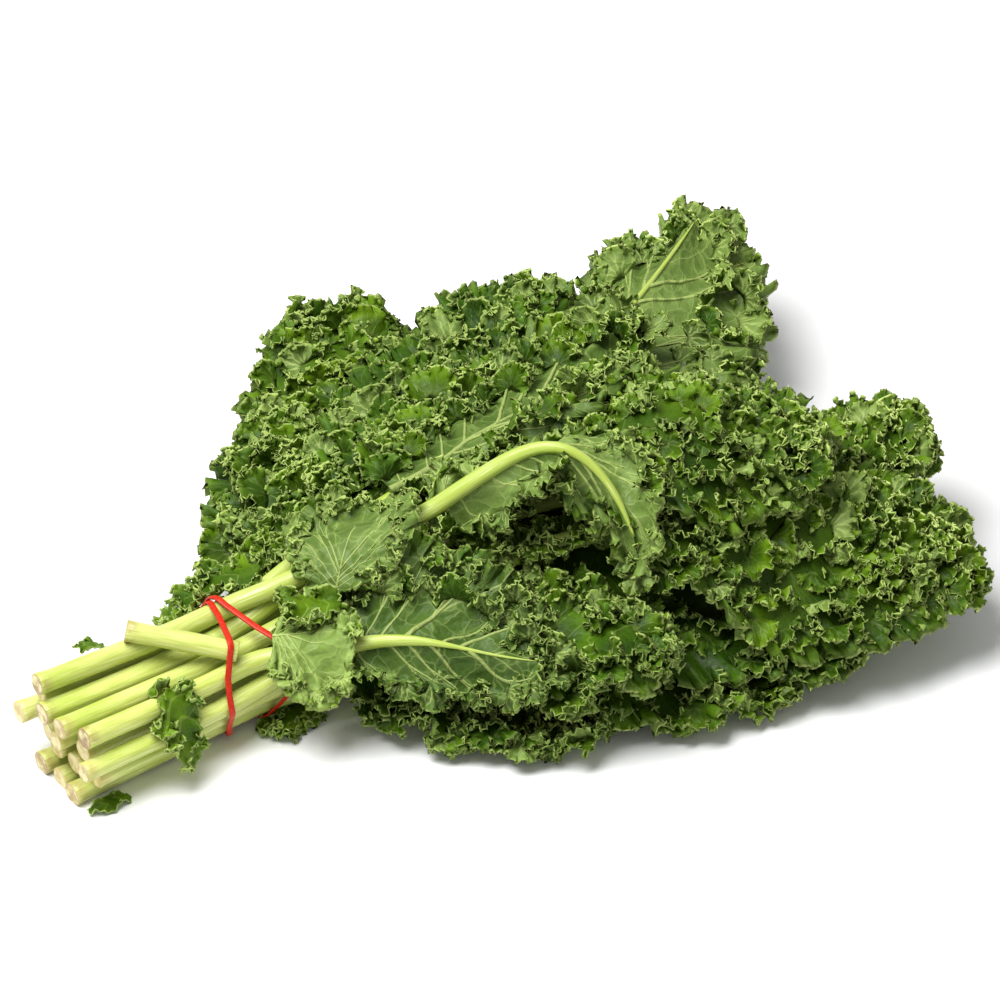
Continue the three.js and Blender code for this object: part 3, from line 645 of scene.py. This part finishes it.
class Cover:
    """Where each leaf lies, to find what is buried under later ones."""

    def __init__(self, blades):
        self.tops = np.full((len(blades), *(np.array(COVER_SIZE) // COVER_CELL)), -np.inf)
        shares = np.linspace(0, 1, COVER_SHARES)[:, None]
        for number, blade in enumerate(blades):
            points = blade.surface(np.linspace(0, blade.steps, COVER_STEPS)[None], shares).reshape(-1, 3)
            i, j = self.cell(points[:, :2]).T
            np.maximum.at(self.tops[number], (i, j), points[:, 2])

    def cell(self, points):
        cells = np.floor((points - np.array(COVER_LOW)) / COVER_CELL).astype(int)
        return np.clip(cells, 0, np.array(self.tops.shape[1:]) - 1)

    def buried(self, number, point):
        """Whether later leaves lie above a point and on all sides of it."""
        around = np.stack([BURIED_AROUND * direction(45 * k) for k in range(8)] + [np.zeros(2)])
        i, j = self.cell(point[:2] + around).T
        above = self.tops[number + 1 :, i, j] > point[2] + BURIED_UNDER
        return bool(len(above)) and bool(above.any(0).all())


def add_lobe(mesh, blade, up, step, band, lifts, reaches, tone):
    """A lobe that stands on the blade. It is left out by the base, where its slope can't be read."""
    low, high = band
    base, tip = blade.surface(np.array([step, step]), np.array([low, high]))
    wanted = np.array([step - LOBE_BESIDE, step + LOBE_BESIDE])
    steps = np.clip(wanted, 0, blade.steps)
    beside = blade.surface(steps, np.array([low, low]))
    axis = unit(tip - base)
    normal = unit(np.cross(axis, beside[1] - beside[0]))
    shown = bool((steps == wanted).all())
    add_fan(mesh, up, base, axis, normal if normal[2] > 0 else -normal, lifts, reaches, tone, shown)


def add_fan(mesh, up, base, axis, normal, lifts, reaches, tone, shown=True):
    """A fan of a surface with its own ruffled margin. Its draws are made even where it is left out."""
    draw = mesh.draw
    reach, lift = draw(*reaches), draw(*lifts)
    axis, normal = turned(axis, normal, lift)
    side = np.cross(normal, axis)
    twist = draw(-LOBE_TWIST, LOBE_TWIST)
    side, normal = turned(side, normal, twist)

    spread = math.radians(draw(*LOBE_SPREAD))
    angle = np.linspace(-spread, spread, LOBE_COLUMNS[-1] + 1)[None, :]
    shares = np.array(LOBE_ROWS, float)
    r = shares[:, None]
    notches = 1 + NOTCH_DEPTH * np.sin(NOTCHES * angle + draw(0, 6))
    flat = reach * lerp(LOBE_SIDES, 1, np.cos(LOBE_ROUND * angle)) * notches * r
    cup = draw(*CUP)
    folds = LOBE_FOLD * np.sin(draw(*LOBE_FOLDS) * angle + draw(*CIRCLE))
    parts = (flat * np.cos(angle), axis), (flat * np.sin(angle), side), ((cup + folds) * reach * r**2, normal)
    grid = base + sum(amount[..., None] * way for amount, way in parts)
    grid = ruffle(grid, shares, reach, LOBE_RUFFLES, draw, draw(*LOBE_STRENGTH))
    first = np.empty(grid.shape)
    first[..., 0] = LOBE_VEINS / 2 * angle / spread
    first[..., 1] = 2 * spread * reach / LOBE_VEINS * r
    first[..., 2] = reach * (1 - r)
    if shown:
        two_sided(mesh, grid, FAN, first, shares, tone, up)


def add_lobes(mesh, leaf, blade, cover):
    draw = mesh.draw
    length = SIDE_BULGE * blade.length
    count = round(length / leaf.every)
    for band, lifts in list(zip(BANDS, BAND_LIFT))[: leaf.bands]:
        for hand, width in ((0, leaf.half), (1, leaf.half * leaf.right)):
            phase = draw(*CIRCLE)
            for k in range(count):
                q = (k + 0.5 + draw(*LOBE_STRAY)) / (count + 0.1)
                clump = CLUMP_SWELL * math.sin(2 * np.pi * q * length / CLUMP_EVERY + phase)
                step = q * LEAF_STEPS / 2
                step = step if hand == 0 else LEAF_STEPS - step
                shade = mesh.shade(LOBE_TONES, clump)
                other = draw() > UNTURNED
                bare = draw() < BARE_CHANCE or width * band[1] < NARROWEST
                if not bare and not cover.buried(leaf.number, blade.surface(step, band[1])):
                    reaches = np.array(LOBE_REACH) * (1 + clump)
                    add_lobe(mesh, blade, leaf.up != other, step, band, lifts, reaches, shade)


def add_petiole_lobes(mesh, leaf):
    """Small lobes on both sides of a stalk before its blade begins."""
    aside, above = PETIOLE_LOBE_AT
    for k in range(leaf.petiole):
        s = leaf.start - PETIOLE_EVERY * (k + mesh.draw(0, 1))
        point, side = leaf.line.at(np.array([s]))
        r = float(stalk_radius(leaf, s))
        across = (1 if k % 2 else -1) * np.array([*side[0], 0])
        base = np.array([*point[0], centre_height(leaf, s) + above * r]) + aside * r * across
        shade = mesh.shade(EDGE_TONES)
        add_fan(mesh, leaf.up, base, across, np.array([0, 0, 1.0]), PETIOLE_LIFT, LOBE_REACH, shade)


# ---- the leaves' and leaflets' pieces ----


def leaf_blade(leaf):
    shape = (leaf.start, leaf.half, leaf.right, LEAF_STEPS, LEAF_ROWS, leaf.number)
    return Blade(f"blade_{leaf.label}", leaf.line, *shape)


def make_leaf(leaf, blade, cover, material):
    mesh = Mesh(LEAF_DRAWS + leaf.number)
    mesh.tone = leaf.tone

    def middle(s, z):
        if leaf.up:
            return z - (PILE_GAP + BLADE_T / 2) - RIB_SHOWS
        return centre_height(leaf, s) - RIB_SUNK * stalk_radius(leaf, s)

    if leaf.up and leaf.sheet is None:
        add_base(mesh, blade, BASE, RUFFLES, True, leaf.tone, middle=middle)
    else:
        shade = leaf.tone if leaf.sheet is None else leaf.sheet
        rib_r = SHEET_RIB_R if leaf.up else None
        veins = {**LEAF_VEINS, "every": leaf.veins}
        add_veined(mesh, blade, VEINED, RUFFLES, shade, veins, rib_r, leaf.fork, middle=middle)
    add_lobes(mesh, leaf, blade, cover)
    add_petiole_lobes(mesh, leaf)
    mesh.make(f"kale_{blade.node}", blade.node, material)


def make_leaflet(number, leaflet, material):
    base, tip = np.array(leaflet.base, float), np.array(leaflet.tip, float)
    line = Line(base, tip, math.degrees(math.atan2(*(tip - base)[::-1])), leaflet.aim)
    node = f"leaflet_{number + 1}"
    blade = Blade(node, line, 0, leaflet.half, 1, LEAFLET_STEPS, LEAFLET_ROWS, LEAFLET_SEED + number)
    mesh = Mesh(LEAFLET_DRAWS + number)
    drawn = mesh.draw(*LEAFLET_TONES)
    mesh.tone = drawn if leaflet.tone is None else leaflet.tone
    strength = LEAFLET_RUFFLED * leaflet.frill
    if leaflet.up:
        add_base(mesh, blade, SMALL, RUFFLES, True, mesh.tone, strength)
    else:
        under = (PLEATS + RUFFLES, mesh.tone, LEAFLET_VEINS, LEAFLET_RIB_R)
        add_veined(mesh, blade, SMALL_VEINED, *under, strength=strength)
    for k in range(leaflet.lobes):
        step = LEAFLET_STEPS * (k + 0.8 + mesh.draw(*LEAFLET_STRAY)) / (leaflet.lobes + 0.6)
        shade = mesh.shade(EDGE_TONES)
        add_lobe(mesh, blade, leaflet.up, step, LEAFLET_BAND, LEAFLET_LIFT, LEAFLET_LOBE_REACH, shade)
    mesh.make(f"kale_{node}", node, material)


# ---- stalks ----

RING = 26  # points round a stalk
STALK_SPACING = 3.6  # between rings
STALK_LOW = 0.02  # least height above the surface
# A cut end's rings: share of the radius, and how far out it stands as a share of CUT_BULGE radii.
CUT_RINGS = [(0.93, 1), (0.8, 0.944), (0.55, 0.7165), (0.25, 0.2125)]
CUT_BULGE = 0.05
CUT_MARK = 1.2  # the materials' mark for the middle of a cut, which drops by 1 to its edge
RING_NEAR = 6  # half the width that the vertices of one cross-section are looked for in
EASING = 3  # rounds of evening out a stalk's heights
RIB_POINT = 0.3  # how much the midrib's last part narrows
RIB_EASE = (0, 0.3)  # share of its length over which a midrib takes on its own thickness
RIB_FADES = (0.3, 0.7)  # share of its length over which a forked midrib narrows
PIECE_R, PIECE_TONE, PIECE_POINTS = 4.3, 0.8, 6  # the broken piece
# A stalk's section: how far its ridges turn, their height and number, fine ribs, the groove on its upper
# side, a slow unevenness and a swelling at the cut end. Heights are shares of the radius.
SECTION_TURN, SWAY, SWAY_OVER = 1.2, 0.25, 60
RIDGE, RIDGES, RIDGE_POWER, RIDGE_MEAN = 0.045, 3.5, 0.7, 0.6
RIB, RIBS = 0.012, 11
GROOVE, GROOVE_WIDE = 0.08, 0.45
UNEVEN, UNEVEN_OVER = 0.03, 17
SWELLING, SWELLING_LONG = 0.07, 4


def rib_share(leaf, s):
    """How far along its midrib a distance along a leaf's line is."""
    return np.clip((s - leaf.start) / (MIDRIB_SHARE * (leaf.line.length - leaf.start)), 0, 1)


def stalk_radius(leaf, s):
    share = rib_share(leaf, s)
    before = leaf.r * lerp(1, BLADE_START_SHARE, np.clip(s / leaf.start, 0, 1))
    after = lerp(BLADE_START_SHARE * leaf.r, MIDRIB_END_R, share**RIB_TAPER)
    after *= lerp(1, leaf.rib, smooth(*RIB_EASE, share))
    return np.where(s <= leaf.start, before, after)


def ring_height(solid, point, along):
    """Height of a tube's centre where a cross-section stands at a point."""
    away = solid[:, :2] - np.array(point)
    aside = np.abs(away @ [-along[1], along[0]])
    near = np.argsort(np.hypot(away @ along, np.maximum(0, aside - RING_NEAR)))[:STALK_SIDES]
    return solid[near, 2].mean()


def stations_of(leaf):
    """Distances along a leaf's line where its solid has a cross-section."""
    parts = max(2, round((leaf.start - FREE_FROM) / FREE_STATION))
    free = FREE_FROM + (leaf.start - FREE_FROM) * np.arange(parts) / parts
    length = (leaf.line.length - leaf.start) * MIDRIB_SHARE
    return np.concatenate([free, leaf.start + length * np.arange(RIB_STATIONS + 1) / RIB_STATIONS])


def stalk_path(leaf):
    """Centres and radii at the solid's own cross-sections."""
    stations = stations_of(leaf)
    solid = cad_vertices(f"stalk_{leaf.label}") - shift
    places = []
    for x in (leaf.cut, FLAT_TO_X, FLAT_TO_X / 2, -FREE_FROM):
        spread = 1 + BUNDLE_SPREAD * min(max(x / CUT_X, 0), 1)
        places.append(((x, leaf.slot[1] * SLOT_PITCH * spread), (0, 1)))
    radii = [leaf.r] * len(places)
    places += list(zip(*leaf.line.at(stations)))
    centres = np.array([[*point, ring_height(solid, point, (side[1], -side[0]))] for point, side in places])
    fade = 1 - leaf.fade * smooth(*RIB_FADES, rib_share(leaf, stations))
    radii += list(stalk_radius(leaf, stations) * fade)
    radii[-1] *= RIB_POINT
    for _ in range(EASING):
        centres[1:-1, 2] = (centres[:-2, 2] + 2 * centres[1:-1, 2] + centres[2:, 2]) / 4
    return centres, np.array(radii)


def centre_height(leaf, s):
    """How high a stalk's centre lies at distances along its line."""
    stations = stations_of(leaf)
    return np.interp(s, stations, stalk_path(leaf)[0][-len(stations) :, 2])


def smooth_path(centres, radii):
    lengths = run_along(centres)
    count = max(4, int(lengths[-1] / STALK_SPACING))
    at = np.interp(np.linspace(0, lengths[-1], count + 1), lengths, np.arange(len(centres)))
    fine = np.stack([through(centres[:, k], at) for k in range(3)], 1)
    return fine, np.interp(at, np.arange(len(radii)), radii)


def add_stalk(mesh, centres, radii, cut_ends):
    """A stalk with a bulging cut face on each end that is cut. Its rings' rows hold points and the values
    for the materials."""
    fine, r = smooth_path(centres, radii)
    along, across, up = frames_along(fine)
    turn = 2 * np.pi * np.arange(RING) / RING
    run = run_along(fine)
    ring_r = r[:, None] * petiole(turn[None, :], run[:, None], mesh.draw)
    sideways, upwards = ((ring_r * wave)[..., None] for wave in (np.sin(turn), np.cos(turn)))
    points = fine[:, None, :] + sideways * across[:, None, :] + upwards * up[:, None, :]

    def ring(points, s, cut):
        return np.column_stack([points, turn, np.full(RING, s), np.full(RING, cut)])

    rows = [ring(points[k], run[k], 0) for k in range(len(fine))]
    for end, ahead in ((0, -along[0]), (-1, along[-1])):
        caps = []
        for share, out in CUT_RINGS if cut_ends[end] else ():
            place = fine[end] + share * (points[end] - fine[end]) + CUT_BULGE * r[end] * out * ahead
            caps.append(ring(place, run[end], CUT_MARK - share))
        rows = rows + caps if end else caps[::-1] + rows
    faces = [tube_faces(len(rows), RING)]
    hubs = []
    for row, end in ((0, 0), (len(rows) - 1, -1)):
        a = row * RING + np.arange(RING)
        b = row * RING + (np.arange(RING) + 1) % RING
        hub = np.full(RING, len(rows) * RING + len(hubs))
        faces.append(np.stack([hub, b, a] if end else [hub, a, b], 1))
        hubs.append([*rows[row][:, :3].mean(0), 0, run[end], CUT_MARK if cut_ends[end] else 0])
    body = np.concatenate([*rows, hubs])
    body[:, 2] = np.maximum(body[:, 2], STALK_LOW)
    mesh.add(body[:, :3], np.concatenate(faces), body[:, 3:], (1, mesh.tone, 0))


def petiole(turn, run, draw):
    """Share of the radius round a stalk: ridges that turn slowly along it, a groove, a slow unevenness and
    a slight swelling at the cut end."""
    turn = turn + draw(-SECTION_TURN, SECTION_TURN)
    turn = turn + SWAY * np.sin(run / SWAY_OVER + draw(0, 6))
    ridges = RIDGE * (np.abs(np.cos(RIDGES * turn)) ** RIDGE_POWER - RIDGE_MEAN) + RIB * np.sin(RIBS * turn)
    groove = GROOVE * np.exp(-((np.abs(np.angle(np.exp(1j * turn))) / GROOVE_WIDE) ** 2))
    bumps = UNEVEN * np.sin(run / UNEVEN_OVER + draw(0, 6)) * np.sin(turn + draw(0, 6))
    swelling = SWELLING * np.exp(-((run / SWELLING_LONG) ** 2))
    return 1 + ridges - groove + bumps + swelling


def make_stalk(leaf, material):
    mesh = Mesh(STALK_DRAWS + leaf.number)
    mesh.tone = mesh.draw(0, 1)
    centres, radii = stalk_path(leaf)
    add_stalk(mesh, centres, radii, (True, False))
    mesh.make(f"kale_stalk_{leaf.label}", f"stalk_{leaf.label}", material)
    return centres, radii


def make_broken_piece(material):
    solid = cad_vertices("broken_piece") - shift
    order = solid[np.argsort(solid[:, 0])]
    near, far = order[: len(order) // 2].mean(0), order[len(order) // 2 :].mean(0)
    centres = np.array([lerp(near, far, t) for t in np.linspace(0, 1, PIECE_POINTS)])
    radii = np.full(PIECE_POINTS, PIECE_R)
    mesh = Mesh(BROKEN_DRAWS)
    mesh.tone = PIECE_TONE
    add_stalk(mesh, centres, radii, (True, True))
    mesh.make("kale_broken_piece", "broken_piece", material)
    return centres, radii


# ---- rubber band ----

BAND_W, BAND_T, BAND_GAP, BAND_LAP = 2.7, 1.0, 0.5, 1.4
BAND_X, BAND_SLANTS, BAND_LATE = -5, (-15, 18), 2
BAND_STEPS = 120  # in one turn
BAND_SIDES = 12
BAND_SQUARE = 0.5  # power that squares its section
BAND_EASE = 0.5
BAND_ROUNDS = 4  # of evening out each turn's slant
PIECE_ROOM = 1.1  # most that a stalk's radius grows where it crosses the band aslant


def circles_at(x, paths):
    """Where the stalks are at x, as circles across the bundle: y, z and radius."""
    found = []
    for centres, radii in paths:
        if x > centres[-1][0] + BAND_W:
            continue
        k = int(np.clip(np.searchsorted(centres[:, 0], x), 1, len(centres) - 1))
        ahead = centres[k] - centres[k - 1]
        t = min(1, (x - centres[k - 1][0]) / ahead[0])
        centre = centres[k - 1] + t * ahead
        r = lerp(radii[k - 1], radii[k], t) * np.linalg.norm(ahead) / ahead[0]
        found.append([centre[1], centre[2], min(r, PIECE_ROOM * radii[k])])
    return np.array(found)


def band_turn(turn, paths):
    """One turn round the bundle from the far side, slanting evenly with the distance that it has run."""
    angles = 2 * math.pi * np.arange(BAND_STEPS) / BAND_STEPS
    outs = np.stack([np.cos(angles), np.sin(angles)], 1)
    laps = BAND_GAP / 2 + BAND_T / 2 + BAND_LAP * np.sin((angles + 2 * math.pi * turn) / 4) ** 2
    shares = np.arange(BAND_STEPS) / BAND_STEPS
    for _ in range(BAND_ROUNDS):
        xs = BAND_X + BAND_SLANTS[turn] * np.sin(math.pi * shares) ** (2 * BAND_LATE)
        points = np.empty((BAND_STEPS, 2))
        for k, (x, out) in enumerate(zip(xs, outs)):
            circles = circles_at(x, paths)
            reach = circles[:, :2] @ out + circles[:, 2]
            weight = np.exp((reach - reach.max()) / BAND_EASE)
            surface = circles[:, :2] + circles[:, 2:] * out
            points[k] = (surface * weight[:, None]).sum(0) / weight.sum() + laps[k] * out
        gaps = np.linalg.norm(np.roll(points, -1, 0) - points, axis=1)
        shares = (np.cumsum(gaps) - gaps) / gaps.sum()
    return np.concatenate([xs[:, None], points], 1), np.concatenate([np.zeros((BAND_STEPS, 1)), outs], 1)


def squared(wave, size):
    return np.sign(wave) * np.abs(wave) ** BAND_SQUARE * size / 2


def make_band(paths, material):
    """Both turns of the band as one closed loop."""
    centres, outs = (np.concatenate(rows) for rows in zip(*(band_turn(turn, paths) for turn in (0, 1))))
    along = unit(np.roll(centres, -1, 0) - np.roll(centres, 1, 0))
    across = unit(np.cross(along, outs))
    outward = np.cross(across, along)
    turn = 2 * np.pi * np.arange(BAND_SIDES) / BAND_SIDES
    wide = squared(np.cos(turn), BAND_W)[:, None] * across[:, None]
    thick = squared(np.sin(turn), BAND_T)[:, None] * outward[:, None]
    points = (centres[:, None] + wide + thick).reshape(-1, 3)
    mesh = Mesh()
    mesh.add(points, tube_faces(len(centres), BAND_SIDES, closed=True), 0.0, 0.0)
    mesh.make("kale_rubber_band", "rubber_band", material)


# ---- materials ----

MIX_A, MIX_B, MIX_COLOUR = 6, 7, 2  # a Mix node's sockets for colours


def srgb(*levels):
    """A colour given in levels from 0 to 255."""
    c = np.array(levels) / 255
    linear = np.where(c > 0.04045, ((c + 0.055) / 1.055) ** 2.4, c / 12.92)
    return (*linear.tolist(), 1)


class Look:
    """A material, and short ways to add the nodes that materials share. Values are numbers, colours or
    sockets."""

    def __init__(self, name):
        self.material = bpy.data.materials.new(name)
        self.material.use_nodes = True
        self.nodes, self.links = self.material.node_tree.nodes, self.material.node_tree.links

    def put(self, socket, value):
        if isinstance(value, bpy.types.NodeSocket):
            self.links.new(value, socket)
        else:
            socket.default_value = value

    def add(self, kind, *values, **settings):
        """A node with its settings, and values for its first sockets."""
        node = self.nodes.new(kind)
        for key, setting in settings.items():
            setattr(node, key, setting)
        for socket, value in zip(node.inputs, values):
            self.put(socket, value)
        return node

    def math(self, operation, a, b=0.0, clamp=False):
        return self.add("ShaderNodeMath", a, b, operation=operation, use_clamp=clamp).outputs[0]

    def plus(self, a, b):
        return self.math("ADD", a, b)

    def minus(self, a, b):
        return self.math("SUBTRACT", a, b)

    def times(self, a, b):
        return self.math("MULTIPLY", a, b)

    def ramp(self, value, low, high, to_low=0.0, to_high=1.0):
        limits = (value, low, high, to_low, to_high)
        return self.add("ShaderNodeMapRange", *limits, interpolation_type="SMOOTHSTEP").outputs[0]

    def mix(self, share, a, b):
        node = self.add("ShaderNodeMix", share, data_type="RGBA")
        self.put(node.inputs[MIX_A], a)
        self.put(node.inputs[MIX_B], b)
        return node.outputs[MIX_COLOUR]

    def tint(self, colour, share, strength, other):
        """A colour with another laid over it, by a share of a strength."""
        return self.mix(self.times(share, strength), colour, other)

    def noise(self, scale, detail, place, output=0):
        node = self.add("ShaderNodeTexNoise", place)
        self.put(node.inputs["Scale"], scale)
        self.put(node.inputs["Detail"], detail)
        return node.outputs[output]

    def cells(self, scale, place):
        """Distance from the nearest edge between cells."""
        node = self.add("ShaderNodeTexVoronoi", place, feature="DISTANCE_TO_EDGE")
        self.put(node.inputs["Scale"], scale)
        return node.outputs[0]

    def split(self, vector):
        return self.add("ShaderNodeSeparateXYZ", vector).outputs

    def attribute(self, name):
        return self.split(self.add("ShaderNodeAttribute", attribute_name=name).outputs["Vector"])

    def place(self):
        return self.add("ShaderNodeTexCoord").outputs["Object"]

    def finish(self, colour, roughness, specular, height=None, strength=0.0, distance=0.0):
        """Sets the shader, with bumps of a strength and distance where there is a height."""
        inputs = self.nodes["Principled BSDF"].inputs
        self.put(inputs["Base Color"], colour)
        self.put(inputs["Roughness"], roughness)
        self.put(inputs["Specular IOR Level"], specular)
        if height is not None:
            bump = self.add("ShaderNodeBump")
            for key, value in (("Strength", strength), ("Distance", distance), ("Height", height)):
                self.put(bump.inputs[key], value)
            self.links.new(bump.outputs[0], inputs["Normal"])
        return self.material


def leaf_material():
    """Leaf: side is 1 on the upper side, tone goes from deep to light, and share is 1 at the margin."""
    look = Look("kale_leaf")
    mix, tint, ramp, noise = look.mix, look.tint, look.ramp, look.noise
    plus, minus, times = look.plus, look.minus, look.times
    place = look.place()
    vein_at, spacing, inside = look.attribute("first")
    side, tone, share = look.attribute("second")
    under_side = minus(1.0, side)

    # veins that fork towards the margin
    wobble = times(minus(noise(70, 2.0, place), 0.5), 0.35)
    vein_at = plus(vein_at, times(wobble, side))
    off = look.math("ABSOLUTE", minus(vein_at, look.math("ROUND", vein_at)))
    fork = look.math("ABSOLUTE", minus(off, ramp(share, 0.3, 1.0, 0.0, 0.34)))
    main = look.math("DIVIDE", times(off, spacing), ramp(share, 0.0, 0.8, 0.8, 0.05))
    forked = look.math("DIVIDE", times(fork, spacing), ramp(share, 0.2, 0.95, 0.6, 0.15))
    vein = look.math("SUBTRACT", 1.0, look.math("MINIMUM", main, forked), clamp=True)

    # fine cells everywhere, and a coarser quilt of ridges and pillows on under sides
    cells = look.cells(300, place)
    net = ramp(cells, 0.0, 0.09, 1.0, 0.0)
    warp = noise(130, 2.0, place, "Color")
    warped = look.add("ShaderNodeVectorMath", warp, (0.006, 0.006, 0.006), place, operation="MULTIPLY_ADD")
    quilt = look.cells(115, warped.outputs[0])
    ridge = times(ramp(quilt, 0.0, 0.07, 1.0, 0.0), under_side)
    pillow = times(ramp(quilt, 0.05, 0.4, 0.0, -1.0), under_side)
    blotch = noise(38, 4.0, place)
    fine = noise(600, 2.0, place)

    deep = mix(tone, srgb(28, 56, 8), srgb(52, 82, 4))
    lively = mix(tone, srgb(60, 101, 18), srgb(106, 138, 12))
    upper = mix(ramp(blotch, 0.35, 0.68), deep, lively)
    upper = tint(upper, net, 0.08, srgb(130, 160, 60))
    upper = tint(upper, vein, 0.3, srgb(150, 172, 80))
    # painted shade: the upper face darkens away from the margin, deep inside lobes and blades, for the shade
    # in the heap's gaps
    upper = mix(ramp(inside, 2.0, 8.0, 0.0, 0.62), upper, srgb(24, 48, 2))

    dull = mix(tone, srgb(60, 84, 28), srgb(130, 156, 74))
    bright = mix(tone, srgb(86, 112, 48), srgb(154, 176, 94))
    # painted shade: under faces darker away from their veins, where the blade sags between them
    shade_between_veins = mix(tone, srgb(54, 78, 26), srgb(96, 122, 50))
    under = mix(ramp(blotch, 0.3, 0.7), dull, bright)
    under = mix(ramp(off, 0.05, 0.45, 0.0, 0.4), under, shade_between_veins)
    under = tint(under, net, 0.06, srgb(150, 172, 96))
    # painted shade: darker in the sunk middles of the quilt's pillows
    under = tint(under, pillow, -0.2, srgb(62, 88, 28))
    under = tint(under, ridge, 0.22, srgb(160, 182, 104))
    under = tint(under, vein, 0.5, srgb(184, 198, 118))

    # painted highlight: pale rims where the curled margins catch the light, fainter by the stalks than in the
    # heap
    pale = ramp(noise(90, 2.0, place), 0.35, 0.65, 0.4, 1.0)
    pale = times(pale, ramp(look.split(place)[0], 0.08, 0.16, 0.6, 1.0))
    colour = mix(side, under, upper)
    colour = tint(colour, pale, ramp(inside, 0.5, 3.2, 0.5, 0.0), srgb(124, 152, 50))
    colour = tint(colour, pale, ramp(inside, 0.15, 0.75, 1.0, 0.0), srgb(202, 220, 128))

    height = plus(times(ramp(cells, 0.0, 0.35), 0.45), vein)
    height = plus(height, plus(ridge, times(pillow, 3.0)))
    return look.finish(colour, ramp(fine, 0.3, 0.7, 0.36, 0.52), 0.16, height, 0.4, 0.0005)


def stalk_material():
    """Stalk: turn goes round it, run along it from the cut end, and cut is above 0 on a cut face."""
    look = Look("kale_stalk")
    mix, tint, ramp, noise, times = look.mix, look.tint, look.ramp, look.noise, look.times
    place = look.place()
    turn, run, cut = look.attribute("first")
    _, tone, _ = look.attribute("second")
    around = (times(look.math(wave, turn), 2.2) for wave in ("COSINE", "SINE"))
    lengthwise = look.add("ShaderNodeCombineXYZ", *around, times(run, 0.03))
    streak = noise(2.4, 5.0, lengthwise.outputs[0])

    green = ramp(run, 0.0, 190.0, 0.12, 0.75)
    pale = mix(tone, srgb(216, 218, 138), srgb(204, 210, 112))
    colour = mix(green, pale, srgb(150, 176, 58))
    colour = mix(ramp(noise(28, 2.0, place), 0.5, 0.72, 0.0, 0.6), colour, srgb(168, 190, 60))
    colour = mix(ramp(streak, 0.42, 0.7, 0.0, 0.5), colour, srgb(150, 172, 44))
    colour = mix(ramp(streak, 0.46, 0.24, 0.0, 0.6), colour, srgb(226, 230, 190))

    # wilted tissue by the cut, and the cut face's flesh inside its ring
    brown = mix(ramp(tone, 0.4, 0.9), srgb(196, 176, 108), srgb(150, 122, 72))
    patches = ramp(noise(140, 3.0, place), 0.35, 0.6)
    near_cut = times(ramp(run, 0.5, 7.0, 1.0, 0.0), patches)
    colour = tint(colour, near_cut, 0.65, brown)
    flesh = mix(ramp(noise(260, 3.0, place), 0.38, 0.62), srgb(222, 210, 152), brown)
    ring = mix(ramp(cut, 0.26, 0.46, 0.8, 0.0), flesh, brown)
    colour = mix(ramp(cut, 0.04, 0.14), colour, ring)
    return look.finish(colour, ramp(streak, 0.3, 0.7, 0.3, 0.45), 0.5, streak, 0.35, 0.0005)


def band_material():
    look = Look("red_rubber")
    grain = look.noise(900, 3.0, look.place())
    colour = look.mix(look.ramp(grain, 0.35, 0.65), srgb(176, 26, 0), srgb(196, 42, 6))
    return look.finish(colour, look.ramp(grain, 0.3, 0.7, 0.34, 0.5), 0.35, grain, 0.15, 0.0002)


# ---- stage ----

FLOOR_EDGE = 6.0  # metres, as are the lamp's places
LAMP_AT, LAMP_AIM = Vector((-0.4, 0.05, 1.15)), Vector((0.03, 0, 0.04))
LAMP_SIZE, LAMP_POWER, SKY = 0.9, 24, 0.43
IMAGE = 1000  # pixels
PIXELS_PER_MM = 2.407
CENTRE_MM = (145.6, 24.8, 30)  # what the middle of the picture shows
TURN, RISE = -33.8, 38.3  # degrees
LENS, SENSOR = 500, 36


def make_stage():
    mesh = bpy.data.meshes.new("floor")
    corners = ((-1, -1), (1, -1), (1, 1), (-1, 1))
    mesh.from_pydata([(FLOOR_EDGE * x, FLOOR_EDGE * y, 0) for x, y in corners], [], [(0, 1, 2, 3)])
    mesh.materials.append(Look("pale_floor").finish((0.92, 0.92, 0.92, 1), 0.8, 0.1))
    floor = put_in_scene("floor", mesh)


def make_camera():
    data = bpy.data.cameras.new("camera")
    data.lens, data.sensor_width = LENS, SENSOR
    camera = put_in_scene("camera", data)
    target = Vector((np.array(CENTRE_MM) + shift) * MM)
    turn, rise = math.radians(TURN), math.radians(RISE)
    back = Vector((math.sin(turn) * math.cos(rise), -math.cos(turn) * math.cos(rise), math.sin(rise)))
    width = IMAGE / PIXELS_PER_MM * MM
    camera.location = target + back * (width * LENS / SENSOR)
    camera.rotation_euler = (-back).to_track_quat("-Z", "Y").to_euler()
    bpy.context.scene.camera = camera


def make_light():
    world = bpy.data.worlds.new("studio")
    world.use_nodes = True
    sky = world.node_tree.nodes["Background"].inputs
    sky["Color"].default_value = (1, 1, 1, 1)
    sky["Strength"].default_value = SKY
    bpy.context.scene.world = world
    data = bpy.data.lights.new("key", "AREA")
    data.shape, data.size, data.energy = "DISK", LAMP_SIZE, LAMP_POWER
    lamp = put_in_scene("key", data)
    lamp.location = LAMP_AT
    lamp.rotation_euler = (LAMP_AIM - LAMP_AT).to_track_quat("-Z", "Y").to_euler()
    bpy.context.scene.view_settings.view_transform = "Standard"


# ---- the whole bunch ----

leaf_look = leaf_material()
stalk_look = stalk_material()
blades = [leaf_blade(leaf) for leaf in LEAVES]
cover = Cover(blades)
for leaf, blade in zip(LEAVES, blades):
    make_leaf(leaf, blade, cover, leaf_look)
for number, leaflet in enumerate(LEAFLETS):
    make_leaflet(number, leaflet, leaf_look)
paths = [make_stalk(leaf, stalk_look) for leaf in LEAVES]
paths.append(make_broken_piece(stalk_look))
make_band(paths, band_material())
make_stage()
make_light()
make_camera()
